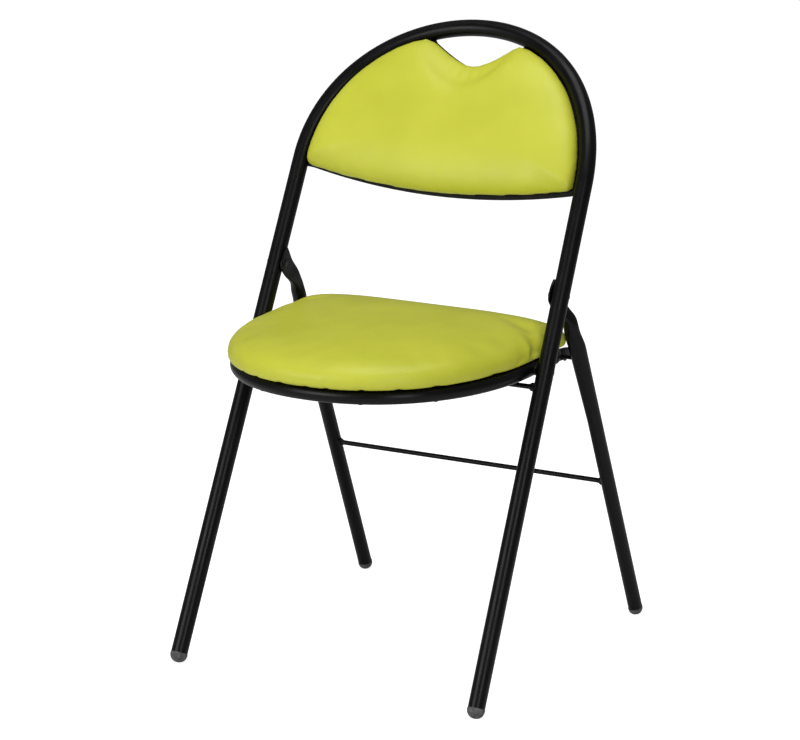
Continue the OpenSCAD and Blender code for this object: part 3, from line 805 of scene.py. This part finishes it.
# %% [markdown]
# Each rivet is a turned shape in one piece. Outside it has a low dome, sunk into the tube until it
# is almost flush, and inside a flat head with a soft rim. It is enamelled with the tubes, so only
# its outline and a small glint tell it apart.

# %% Rivets
RIVET_HEAD_R = 0.0045
RIVET_HEAD_H = 0.0016
RIVET_SUNK = 0.001
RIVET_SHANK_R = 0.003
DOME_STEPS = 12
# Of the flat head inside: how far it stands out of the wall, and its radius there
FLAT_HEAD = [(0.0014, 0), (0.0014, 0.0052), (0.0011, 0.0056), (0, 0.0058)]


def rivet(name, pivot, inner_x, body, replaces):
    """A rivet across the leg, on the right or, mirrored, on the left."""
    surface = leg_at(pivot.z).x + MAIN_R - RIVET_SUNK
    dome = [
        (surface + RIVET_HEAD_H * sin(a), RIVET_HEAD_R * cos(a) ** 0.8)
        for a in [i * pi / 2 / DOME_STEPS for i in range(DOME_STEPS)]
    ] + [(surface + RIVET_HEAD_H, 0)]
    head = [(inner_x - out, r) for out, r in FLAT_HEAD]
    under = surface - 0.0012
    shank = [(inner_x, RIVET_SHANK_R), (under, RIVET_SHANK_R), (under, RIVET_HEAD_R)]
    bm = turned_out(head + shank + dome, across_at(pivot, 0), ACROSS, UP)
    if name.endswith("left"):
        bmesh.ops.scale(bm, vec=(-1, 1, 1), verts=bm.verts)
    made = finished(name, bm, body, enamel, sharp=radians(50))
    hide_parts(replaces)


for side_name in ("left", "right"):
    leg_inner = SPADE_OUTER_X - 2 * SPADE_HALF_T
    seat_inner = side_at(SEAT_PIVOT.y).x - SEAT_R - SIDE_PLAY
    rivet("leg_rivet_head_" + side_name, LEG_PIVOT, leg_inner, "main_frame", "leg_rivet_" + side_name)
    rivet("seat_rivet_head_" + side_name, SEAT_PIVOT, seat_inner, "main_frame", "seat_rivet_" + side_name)
print("rivet heads", RIVET_HEAD_R * 2000, "mm wide")

# %% [markdown]
# Four screws hold the seat's board from below. Only their heads show, flush in the underside of the
# seat tube and painted over with it. They are one piece: two turned heads joined into one bmesh and
# mirrored to the other side.

# %% Seat screws
SCREW_ANGLES = (radians(20), radians(48))
SCREW_HEAD_R = 0.0034
SCREW_HEAD_L = 0.003
SCREW_HEAD_PROUD = 0.0003
screw_profile = [
    (0, 0), (0, SCREW_HEAD_R * 0.8), (0.0004, SCREW_HEAD_R), (SCREW_HEAD_L, SCREW_HEAD_R), (SCREW_HEAD_L, 0)
]
bm = bmesh.new()
for angle in SCREW_ANGLES:
    under = ring_at(angle) - UP * SEAT_R
    head = turned_out(screw_profile, under - UP * SCREW_HEAD_PROUD, UP, ACROSS)
    mesh = bpy.data.meshes.new("screw_head")
    head.to_mesh(mesh)
    head.free()
    bm.from_mesh(mesh)
    bpy.data.meshes.remove(mesh)
bmesh.ops.mirror(bm, geom=bm.verts[:] + bm.edges[:] + bm.faces[:], merge_dist=-1, axis="X")
seat_screw_heads = finished("seat_screw_heads", bm, "seat", enamel)
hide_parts("seat_screws")
print("seat screws", len(seat_screw_heads.data.polygons), "faces")

# %% [markdown]
# The rubber feet are plugs pushed into the tubes. What shows is a dome with a small lip over the
# tube's end. It is turned round the leg's own line, which leans, and a plane then cuts it off flat
# where it stands on the floor.

# %% Rubber feet
FOOT_LIP = 0.0004
FOOT_LIP_H = 0.0018
PLUG_IN = 0.002
PLUG_L = 0.012
FOOT_STEPS = 14


def rubber_foot(name, centre, direction, tube_r, body, replaces):
    """A dome of rubber below the tube's end, with a small lip, cut flat on the floor."""
    r = tube_r + FOOT_LIP
    angles = [i * pi / 2 / FOOT_STEPS for i in range(FOOT_STEPS + 1)]
    dome = [(-tube_r * cos(a), r * sin(a) ** 0.9) for a in angles]
    lip = [(0.0012, r), (FOOT_LIP_H, r - 0.0003), (FOOT_LIP_H, tube_r - PLUG_IN)]
    plug = [(PLUG_L, tube_r - PLUG_IN), (PLUG_L, 0)]
    bm = turned_out(dome + lip + plug, centre, direction, ACROSS)
    cut = bmesh.ops.bisect_plane(
        bm, geom=bm.verts[:] + bm.edges[:] + bm.faces[:], plane_co=(0, 0, 0), plane_no=(0, 0, -1),
        clear_outer=True
    )["geom_cut"]
    bmesh.ops.edgeloop_fill(bm, edges=[part for part in cut if isinstance(part, bmesh.types.BMEdge)])
    if name.endswith("left"):
        bmesh.ops.scale(bm, vec=(-1, 1, 1), verts=bm.verts)
    made = finished(name, bm, body, rubber, sharp=radians(35))
    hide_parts(replaces)


FEET = [
    ("front", FRONT_FOOT, LEG_DIR, MAIN_R, "main_frame"),
    ("rear", rear_at(REAR_R - FOOT_FLAT), REAR_DIR, REAR_R, "rear_legs"),
]
for side_name in ("_left", "_right"):
    for end, centre, direction, tube_r, body in FEET:
        rubber_foot(end + "_tip" + side_name, centre, direction, tube_r, body, end + "_foot" + side_name)
print("feet", [round((foot[3] + FOOT_LIP) * 2000, 1) for foot in FEET], "mm wide")

# %% [markdown]
# The back's outline is drawn flat: x across, h up along the drum. Its lower edge sags, its sides
# follow the hoop, and its top has the hand-hold cut into it. The board and the pad share it, and the
# board's edge reaches a little further down, more at the right than at the left, where it shows as a
# thin black line under the pad: painted shade, a black strip that stands in for the shadow under the pad.

# %% Back outline
PAD_GAP = 0.0012
BACK_R = HOOP_R - MAIN_R - PAD_GAP
BACK_SAG = 0.021
HAND_DEPTH = 0.0378
HAND_HALF_W = 0.067
HAND_POWER = 1.45
HAND_SKEW = 0.008
BACK_SIDE = radians(1.9)
LOWER_POINTS = 60
SIDE_POINTS = 44
HAND_POINTS = 48
# The lip is painted shade under the pad; at the left it is this share as deep as at the right
SHADE_LIP_AT_LEFT = 0.1
HAND_CORNERS = (LOWER_POINTS + SIDE_POINTS, LOWER_POINTS + SIDE_POINTS + HAND_POINTS)
HAND_TOP = BACK_R * sin(acos(HAND_HALF_W / BACK_R))


def back_outline(lip=0.0, hand_in=0.0):
    """The back's outline as (x, h) pairs, anticlockwise from the lower left corner; lip lowers its lower edge,
    more at the right, as a strip of painted shade.
    """
    hand_half_w = HAND_HALF_W - hand_in
    hand_angle = acos(hand_half_w / BACK_R)
    hand_top = BACK_R * sin(hand_angle)
    side_x = BACK_R * cos(BACK_SIDE)
    low = -BACK_R * sin(BACK_SIDE)
    shape = []
    for i in range(LOWER_POINTS):
        share = 2 * i / LOWER_POINTS - 1
        # Painted shade: the lip lowers the lower edge, deepening from left to right
        shade_share = SHADE_LIP_AT_LEFT + (1 - SHADE_LIP_AT_LEFT) * eased(share / 2 + 0.5)
        shape.append((side_x * share, low - (BACK_SAG * (1 - share * share) + lip * shade_share)))
    for i in range(SIDE_POINTS):
        angle = -BACK_SIDE + (hand_angle + BACK_SIDE) * i / SIDE_POINTS
        shape.append((BACK_R * cos(angle), BACK_R * sin(angle)))
    for i in range(HAND_POINTS):
        share = 1 - 2 * i / HAND_POINTS
        rise = HAND_DEPTH * (1 - abs(share) ** HAND_POWER) - hand_in
        shape.append((hand_half_w * share + HAND_SKEW * (1 - share ** 2), hand_top - max(rise, 0)))
    for i in range(SIDE_POINTS):
        angle = pi - hand_angle + (hand_angle + BACK_SIDE) * i / SIDE_POINTS
        shape.append((BACK_R * cos(angle), BACK_R * sin(angle)))
    return shape


print("hand-hold", HAND_HALF_W * 2000, "mm wide and", round(HAND_DEPTH * 1000, 1), "mm deep")

# %% [markdown]
# Both boards are cut from a flat sheet. A single face with this outline couldn't bend, so many
# planes cut it into squares. An extrusion then gives the thickness, and the edges between the flat
# sides and the rim are found by their angle, so that a bevel can break them.

# %% Sheet helpers
SHARP_RIM = radians(60)


def softened(shape, corners, reach, rounds):
    """The outline with the points near some corners drawn towards their neighbours' middle."""
    points = [Vector(p) for p in shape]
    near = [(corner + step) % len(points) for corner in corners for step in range(-reach, reach + 1)]
    for _ in range(rounds):
        middles = {i: (points[i - 1] + points[(i + 1) % len(points)]) / 2 for i in near}
        for i, middle in middles.items():
            points[i] = points[i].lerp(middle, 0.5)
    return points


def flat_sheet(shape, pitch):
    """A flat bmesh face with an outline, cut into squares by planes."""
    bm = bmesh.new()
    verts = [bm.verts.new((x, y, 0)) for x, y in shape]
    bmesh.ops.contextual_create(bm, geom=verts)
    for k, normal in enumerate((Vector((1, 0, 0)), Vector((0, 1, 0)))):
        low = min(p[k] for p in shape)
        high = max(p[k] for p in shape)
        count = int((high - low) / pitch)
        for i in range(1, count):
            bmesh.ops.bisect_plane(
                bm, geom=bm.verts[:] + bm.edges[:] + bm.faces[:], dist=0.00001,
                plane_co=normal * (low + (high - low) * i / count), plane_no=normal
            )
    return bm


def thickened(bm, low, high):
    """Gives a flat sheet a thickness from low to high along Z."""
    made = bmesh.ops.extrude_face_region(bm, geom=bm.faces[:])["geom"]
    top = [part for part in made if isinstance(part, bmesh.types.BMVert)]
    top_set = set(top)
    bmesh.ops.translate(bm, verts=top, vec=(0, 0, high))
    bmesh.ops.translate(bm, verts=[v for v in bm.verts if v not in top_set], vec=(0, 0, low))


def rim_edges(bm):
    """The edges where a thick sheet's flat side meets its edge."""
    return [
        edge for edge in bm.edges
        if len(edge.link_faces) == 2 and edge.calc_face_angle(0) > SHARP_RIM
        and abs(edge.verts[0].co.z - edge.verts[1].co.z) < 0.0001
    ]


print("rims sharper than", round(degrees(SHARP_RIM)), "degrees are bevelled")

# %% [markdown]
# The back board is bent plywood, screwed to lugs on the hoop from behind. It is made flat, its side
# edges are widened until they just touch the round tube at every depth, and then each point is
# rolled onto the drum, which bends the board as the press did.

# %% Back board
BOARD_T = 0.007
BOARD_BACK_F = -0.009
# Painted shade: the board's lower edge reaches below the pad as a black strip that stands in for the shadow there
BOARD_SHADE_LIP = 0.0032
BOARD_HAND_IN = 0.0006
BOARD_PITCH = 0.008
TUBE_PLAY = 0.0003
bm = flat_sheet(back_outline(BOARD_SHADE_LIP, BOARD_HAND_IN), BOARD_PITCH)
thickened(bm, BOARD_BACK_F, BOARD_BACK_F + BOARD_T)
for vert in bm.verts:
    out = Vector((vert.co.x, vert.co.y))
    if out.length > BACK_R - 0.0004:
        edge_r = HOOP_R - sqrt((MAIN_R + TUBE_PLAY) ** 2 - vert.co.z ** 2)
        out *= edge_r / out.length
        vert.co.x, vert.co.y = out
bmesh.ops.bevel(
    bm, geom=rim_edges(bm), affect="EDGES", offset=0.0012, segments=3, profile=0.5, material=-1
)
for vert in bm.verts:
    vert.co = rolled(vert.co.x, vert.co.y, vert.co.z)
back_board = finished("back_plywood", bm, "main_frame", board)
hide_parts("back_board")
print("back board", len(back_board.data.polygons), "faces")

# %% [markdown]
# The pads are foam in a tight vinyl cover. Each starts as a closed form, a little smaller than the
# real pad: one outline, repeated in rings that climb the rim and close in over the top. An extrude
# makes each ring from the last, and every point keeps its number, which says where it belongs.

# %% Ring form
def ring_form(spot, levels, count):
    """A closed bmesh through rings; spot(k, level) is the place of point k of a ring."""
    bm = bmesh.new()
    number = bm.verts.layers.int.new("number")
    verts = bmesh.ops.create_circle(bm, segments=count, radius=1)["verts"]
    for vert in verts:
        vert[number] = round((atan2(vert.co.y, vert.co.x) % (2 * pi)) / (2 * pi) * count) % count
    first = edges = edges_of(verts)
    for vert in verts:
        vert.co = spot(vert[number], levels[0])
    for level in levels[1:]:
        made = bmesh.ops.extrude_edge_only(bm, edges=edges)["geom"]
        edges = [part for part in made if isinstance(part, bmesh.types.BMEdge) and part.is_boundary]
        for part in made:
            if isinstance(part, bmesh.types.BMVert):
                part.co = spot(part[number], level)
    for loop in (first, edges):
        bmesh.ops.edgeloop_fill(bm, edges=loop)
    bmesh.ops.recalc_face_normals(bm, faces=bm.faces)
    return bm


print("a pad's form is made through rings")

# %% [markdown]
# A cloth simulation then blows the form up: the cover swells where it is free and stays put where it
# is held on the board. No point may move further than a cap, because the real cover lies tight on
# its foam. An even voxel mesh comes first, so that the cloth has no direction of its own.

# %% Cloth filling
PAD_VOXEL = 0.004
CLOTH_FRAMES = 20
CLOTH_QUALITY = 6
CLOTH_STIFFNESS = 10


def padded_form(name, bm, pressure, cap, keep):
    """A closed form swollen by a cloth simulation; keep says how firmly a point is held."""
    mesh = bpy.data.meshes.new(name)
    bm.to_mesh(mesh)
    bm.free()
    made = bpy.data.objects.new(name, mesh)
    bpy.context.scene.collection.objects.link(made)
    remesh = made.modifiers.new("remesh", "REMESH")
    remesh.mode = "VOXEL"
    remesh.voxel_size = PAD_VOXEL
    applied(made)
    held = made.vertex_groups.new(name="held")
    rest = [vert.co.copy() for vert in made.data.vertices]
    for vert in made.data.vertices:
        held.add([vert.index], keep(vert.co), "REPLACE")
    cloth = made.modifiers.new("cloth", "CLOTH")
    cloth.settings.use_pressure = True
    cloth.settings.uniform_pressure_force = pressure
    cloth.settings.effector_weights.gravity = 0
    cloth.settings.vertex_group_mass = "held"
    cloth.settings.quality = CLOTH_QUALITY
    cloth.settings.bending_stiffness = CLOTH_STIFFNESS
    cloth.point_cache.frame_end = CLOTH_FRAMES
    for frame_number in range(1, CLOTH_FRAMES + 1):
        bpy.context.scene.frame_set(frame_number)
    applied(made)
    bpy.context.scene.frame_set(1)
    for vert, start in zip(made.data.vertices, rest):
        move = vert.co - start
        vert.co = start + move * (cap / (cap + move.length)) * (1 - keep(start))
    return made


print("cloth", CLOTH_FRAMES, "frames, mesh pitch", PAD_VOXEL * 1000, "mm")

# %% [markdown]
# After the filling, rounds of smoothing calm the small waves that a simulation leaves. Creases and
# puckers are pressed in after that, with a soft hump that falls off to all sides. At last one level
# of subdivision rounds the mesh, and the pad gets its vinyl and its body.

# %% Pad finishing
def calmed(made, keep, rounds):
    """Smooths the free part of a pad."""
    bm = bmesh.new()
    bm.from_mesh(made.data)
    free = [vert for vert in bm.verts if keep(vert.co) < 0.5]
    for _ in range(rounds):
        bmesh.ops.smooth_vert(bm, verts=free, factor=0.5, use_axis_x=True, use_axis_y=True, use_axis_z=True)
    bm.to_mesh(made.data)
    bm.free()


def dressed(made, material, body):
    """Gives a pad its material, smooth shading, one subdivision and its body."""
    made.data.materials.clear()
    made.data.materials.append(material)
    made.vertex_groups.clear()
    smooth = made.modifiers.new("subdivision", "SUBSURF")
    smooth.levels = smooth.render_levels = 1
    applied(made)
    for face in made.data.polygons:
        face.use_smooth = True
    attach(made, body)


def hump(distance, width):
    """1 at no distance, falling softly to 0."""
    return exp(-(distance / width) ** 2)


print("a hump is down to", round(hump(1, 1), 2), "at its width")

# %% [markdown]
# The back pad fills the hoop. Its rim is round and its front is a shallow crown that follows the
# drum. Each level of its form says how far a ring is drawn in and how high it lies. Near the
# hand-hold the rings draw in more and lie lower, because the cover is pulled tight there.

# %% Back pad form
PAD_T = 0.030
PAD_BACK_F = -0.0017
BACK_MIDDLE = Vector((0, BACK_R * 0.35))
HAND_ROUNDER = 1.1
HAND_THINNER = 0.12
HAND_NEAR = 8
back_shape = softened(back_outline(), HAND_CORNERS, 4, 8)
# Drawn in from the outline; share of the outline left; share of the thickness
back_levels = [
    (0.003, 1, 0), (-0.0004, 1, 0.07), (-0.0008, 1, 0.2), (-0.0004, 1, 0.34), (0.001, 1, 0.48),
    (0.0046, 1, 0.60), (0.0095, 1, 0.71), (0.0165, 1, 0.80), (0.0165, 0.85, 0.88), (0.017, 0.68, 0.93),
    (0.017, 0.5, 0.96), (0.017, 0.32, 0.98), (0.017, 0.14, 0.985),
]


def back_spot(k, level):
    """A point of the back pad: drawn in from the outline, then shrunk to the middle and raised."""
    inwards, share, rise = level
    at_hand = (k - HAND_CORNERS[0] + HAND_NEAR) / (HAND_POINTS + 2 * HAND_NEAR)
    at_hand = sin(pi * min(max(at_hand, 0), 1)) * share ** 3
    inwards = max(inwards, 0.0002) * (1 + HAND_ROUNDER * at_hand) if at_hand > 0 else inwards
    rise *= 1 - HAND_THINNER * at_hand
    before, after = back_shape[k - 1], back_shape[(k + 1) % len(back_shape)]
    along = (after - before).normalized()
    p = back_shape[k] + Vector((-along.y, along.x)) * inwards
    p = BACK_MIDDLE + (p - BACK_MIDDLE) * share
    return rolled(p.x, p.y, PAD_BACK_F + PAD_T * rise)


back_form = ring_form(back_spot, back_levels, len(back_shape))
print("back pad form", len(back_levels), "rings of", len(back_shape), "points")

# %% [markdown]
# To know which part of the cover lies on the board, a point's place on the drum is needed the other
# way round: from a point in the chair back to its height and depth. The cover is held where it
# touches the board, and the cloth simulation fills the rest.

# %% Back pad
BACK_PRESSURE = 2.0
BACK_CAP = 0.0025
HELD_F = 0.0012


def drum_place(point):
    """The height h and depth f of a point on the drum."""
    centre = FRONT + LEG_UP * LEG_LENGTH + LEG_BACK * BOW_R
    up = (point - centre).dot(LEG_UP)
    back = (point - centre).dot(LEG_BACK)
    if up <= 0:
        return up, -back - BOW_R
    return atan2(up, -back) * BOW_R, sqrt(up * up + back * back) - BOW_R


def back_held(point):
    """The cover is held where it lies on the board."""
    return 1.0 if drum_place(point)[1] < PAD_BACK_F + HELD_F else 0.0


back_pad = padded_form("back_cover", back_form, BACK_PRESSURE, BACK_CAP, back_held)
calmed(back_pad, back_held, 12)
print("back cover filled,", len(back_pad.data.polygons), "faces")

# %% [markdown]
# Where the cover turns round the bottom of the hand-hold it has too much stuff, and it gathers into
# a few short puckers that spread out downwards. Each is a soft groove along a slanting line.

# %% Hand-hold puckers
PUCKER_W = 0.0035
PUCKER_L = 0.014
PUCKER_SPREAD = 0.05
PUCKER_FRONT = 0.006
PUCKER_ABOVE = 0.01
PUCKER_BELOW = 0.06
# Place across the chair, and depth
HAND_PUCKERS = [(-0.014, 0.0005), (-0.003, 0.0008), (0.009, 0.001), (0.02, 0.0006)]
for vert in back_pad.data.vertices:
    h, f = drum_place(vert.co)
    below = HAND_TOP - HAND_DEPTH - h
    if f > PUCKER_FRONT and -PUCKER_ABOVE < below < PUCKER_BELOW:
        for x, depth in HAND_PUCKERS:
            line = x * (1 + below / PUCKER_SPREAD)
            groove = hump(vert.co.x - line, PUCKER_W)
            vert.co -= front_at(h) * depth * groove * hump(below - PUCKER_L, PUCKER_L)
dressed(back_pad, vinyl, "main_frame")
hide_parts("back_pad")
print("back pad", len(back_pad.data.polygons), "faces")

# %% [markdown]
# The seat's outline comes from two squarish ovals: a round front that hangs over the seat tube, and
# a nearly straight rear. The board is flat plywood that lies on the tube, a little smaller than the
# cushion all round, so that the cover hides its edge.

# %% Seat board
CUSHION_HALF_W = 0.1981
CUSHION_FRONT_L = SEAT_FRONT_L + SEAT_R + 0.014
CUSHION_REAR_L = 0.104
CUSHION_POWER = 2.2
REAR_POWER = 8
BOARD_SEAT_T = 0.006
BOARD_SIDE_IN = 0.007
BOARD_FRONT_IN = 0.018
SEAT_PITCH = 0.04
BOARD_BOTTOM = SEAT_Z + SEAT_R
BOARD_TOP = BOARD_BOTTOM + BOARD_SEAT_T
SEAT_POINTS = 200


def seat_point(k, side_in, front_in, rear_in, rear_power=REAR_POWER):
    """Point k of the seat's outline, as (x, y) from the seat's middle."""
    angle = (k + 0.5) * 2 * pi / SEAT_POINTS
    front = sin(angle) < 0
    power = 2 / (CUSHION_POWER if front else rear_power)
    reach = CUSHION_FRONT_L - front_in if front else CUSHION_REAR_L - rear_in
    return (
        copysign((CUSHION_HALF_W - side_in) * abs(cos(angle)) ** power, cos(angle)),
        copysign(reach * abs(sin(angle)) ** power, sin(angle)),
    )


seat_shape = [seat_point(k, BOARD_SIDE_IN, BOARD_FRONT_IN, BOARD_SIDE_IN) for k in range(SEAT_POINTS)]
bm = flat_sheet(seat_shape, SEAT_PITCH)
thickened(bm, BOARD_BOTTOM, BOARD_TOP)
bmesh.ops.translate(bm, verts=bm.verts, vec=(0, SEAT_MID.y, 0))
bmesh.ops.bevel(
    bm, geom=rim_edges(bm), affect="EDGES", offset=0.001, segments=2, profile=0.5, material=-1
)
seat_board = finished("seat_plywood", bm, "seat", board)
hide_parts("seat_board")
print("seat board", len(seat_board.data.polygons), "faces")

# %% [markdown]
# The seat's cover is pulled down round the board's edge and stapled under it, so the cushion bulges
# over the tube and tucks in just above it. It is made as the back pad is, through rings: two lie on
# the board, two go down round its edge, and the rest go up the bulge and over the crown. The rear
# corners are nearly square at the rim and get rounder on top.

# %% Seat cushion
CUSHION_RISE = 0.0475
RIM_Z = BOARD_BOTTOM + 0.0004
RIM_REAR_POWER = 20
CORNERS_ROUNDER = 0.92
HELD_RIM = 0.0035
HELD_ON_BOARD = 0.002
HELD_HALF_W = 0.15
SEAT_PRESSURE = 3.0
SEAT_CAP = 0.003
# Drawn in at the sides, the front and the rear; share of the outline left; share of the height
seat_levels = [
    (0.0075, 0.0185, 0.0075, 0.5, 0.13), (0.0075, 0.0185, 0.0075, 1, 0.13),
    (0.0062, 0.0172, 0.0062, 1, 0.005), (0.0040, 0.0145, 0, 1, 0), (0.0016, 0.0075, -0.004, 1, 0.05),
    (0.0006, 0.0028, -0.006, 1, 0.14), (0.0006, 0.0013, -0.006, 1, 0.27), (0.0022, 0.0022, -0.005, 1, 0.39),
    (0.0055, 0.0050, -0.001, 1, 0.50), (0.0115, 0.0102, 0.006, 1, 0.60), (0.0245, 0.0172, 0.0102, 1, 0.685),
    (0.041, 0.028, 0.018, 1, 0.76), (0.041, 0.028, 0.018, 0.88, 0.825), (0.041, 0.028, 0.018, 0.72, 0.89),
    (0.041, 0.028, 0.018, 0.54, 0.94), (0.041, 0.028, 0.018, 0.34, 0.97), (0.041, 0.028, 0.018, 0.14, 0.98),
]


def seat_spot(k, level):
    """A point of the cushion; the rear corners are square at the rim and round on top."""
    side_in, front_in, rear_in, share, rise = level
    x, y = seat_point(k, side_in, front_in, rear_in, RIM_REAR_POWER * (1 - CORNERS_ROUNDER * rise))
    return Vector((x * share, SEAT_MID.y + y * share, RIM_Z + CUSHION_RISE * rise))


def seat_held(point):
    """The cover is held at the staples and where it lies on the board."""
    on_board = point.z < BOARD_TOP + HELD_ON_BOARD and abs(point.x) < HELD_HALF_W
    return 1.0 if point.z < RIM_Z + HELD_RIM or on_board else 0.0


seat_form = ring_form(seat_spot, seat_levels, SEAT_POINTS)
seat_cushion = padded_form("seat_cover", seat_form, SEAT_PRESSURE, SEAT_CAP, seat_held)
calmed(seat_cushion, seat_held, 8)
low, high = [
    [round(pick(vert.co[k] for vert in seat_cushion.data.vertices), 4) for k in range(3)]
    for pick in (min, max)
]
print("seat cushion from", low, "to", high)

# %% [markdown]
# Two things shape the cover after it is filled. The front legs press a shallow crease into each
# side, which runs on over the top as a soft valley. And each staple under the board leaves a small
# nick in the lower edge. The staples sit where a hand put them, not at even steps.

# %% Leg creases and staple nicks
CREASE = 0.0065
CREASE_W = 0.013
BULGE_SHARE = 0.35
BULGE_AWAY = 0.034
BULGE_W = 0.016
VALLEY_X = 0.10
VALLEY_L = 0.08
VALLEY_W = 0.014
VALLEY_BEHIND = 0.012
VALLEY_SLANT = 0.15
VALLEY_SHARE = 0.85
VALLEY_MIDDLE = 0.09
# The side begins at a width and the top at a height, each over a length
SIDE_FROM = (0.165, 0.03)
VALLEY_TOP = (0.43, 0.015)
NICK_H = 0.0016
NICK_W = 0.0028
NICK_REACH = 0.006
STAPLE_NICKS = [-0.172, -0.141, -0.098, -0.071, -0.031, 0.008, 0.036, 0.079, 0.118, 0.151, 0.187]
for vert in seat_cushion.data.vertices:
    p = vert.co
    leg = leg_at(p.z)
    over = abs(p.x) - VALLEY_X
    if over > 0 and p.z > BOARD_TOP:
        near = hump(p.y - leg.y, CREASE_W) - BULGE_SHARE * hump(abs(p.y - leg.y) - BULGE_AWAY, BULGE_W)
        side = begun(abs(p.x), *SIDE_FROM)
        reach = eased(over / VALLEY_L)
        vert.co.x -= copysign(CREASE * near * side, p.x)
        valley = hump(p.y - leg.y - VALLEY_BEHIND + VALLEY_SLANT * (over - VALLEY_MIDDLE), VALLEY_W)
        vert.co.z -= CREASE * VALLEY_SHARE * valley * reach * begun(p.z, *VALLEY_TOP)
    if p.z < RIM_Z + NICK_REACH and p.y < SEAT_MID.y:
        for x in STAPLE_NICKS:
            vert.co.z += NICK_H * hump(p.x - x, NICK_W)
dressed(seat_cushion, vinyl, "seat")
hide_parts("seat_cushion")
print("seat cushion", len(seat_cushion.data.polygons), "faces")

# %% [markdown]
# Some solids of the frame are good enough to be seen: the lugs behind the back, its four screws, the
# spacers beside the seat and the sliding pins. They only need a finish. Every solid gets the finish
# of its own slot, and the spacers and pins, steel parts that were enamelled with the tubes, are black.

# %% Finishes for the solids
FINISHES = {
    "black_enamel": enamel, "lime_vinyl": vinyl, "black_board": board, "tip_rubber": rubber,
    "zinc_steel": zinc,
}
SLOTS = {part["node"]: part["material_slot"] for part in frame["record"]["subparts"]}
for name, node in frame["nodes"].items():
    painted_over = name.startswith(("seat_spacer", "slide_pin"))
    node.data.materials.clear()
    node.data.materials.append(enamel if painted_over else FINISHES[SLOTS[name]])
print("solids with a finish", len(frame["nodes"]))
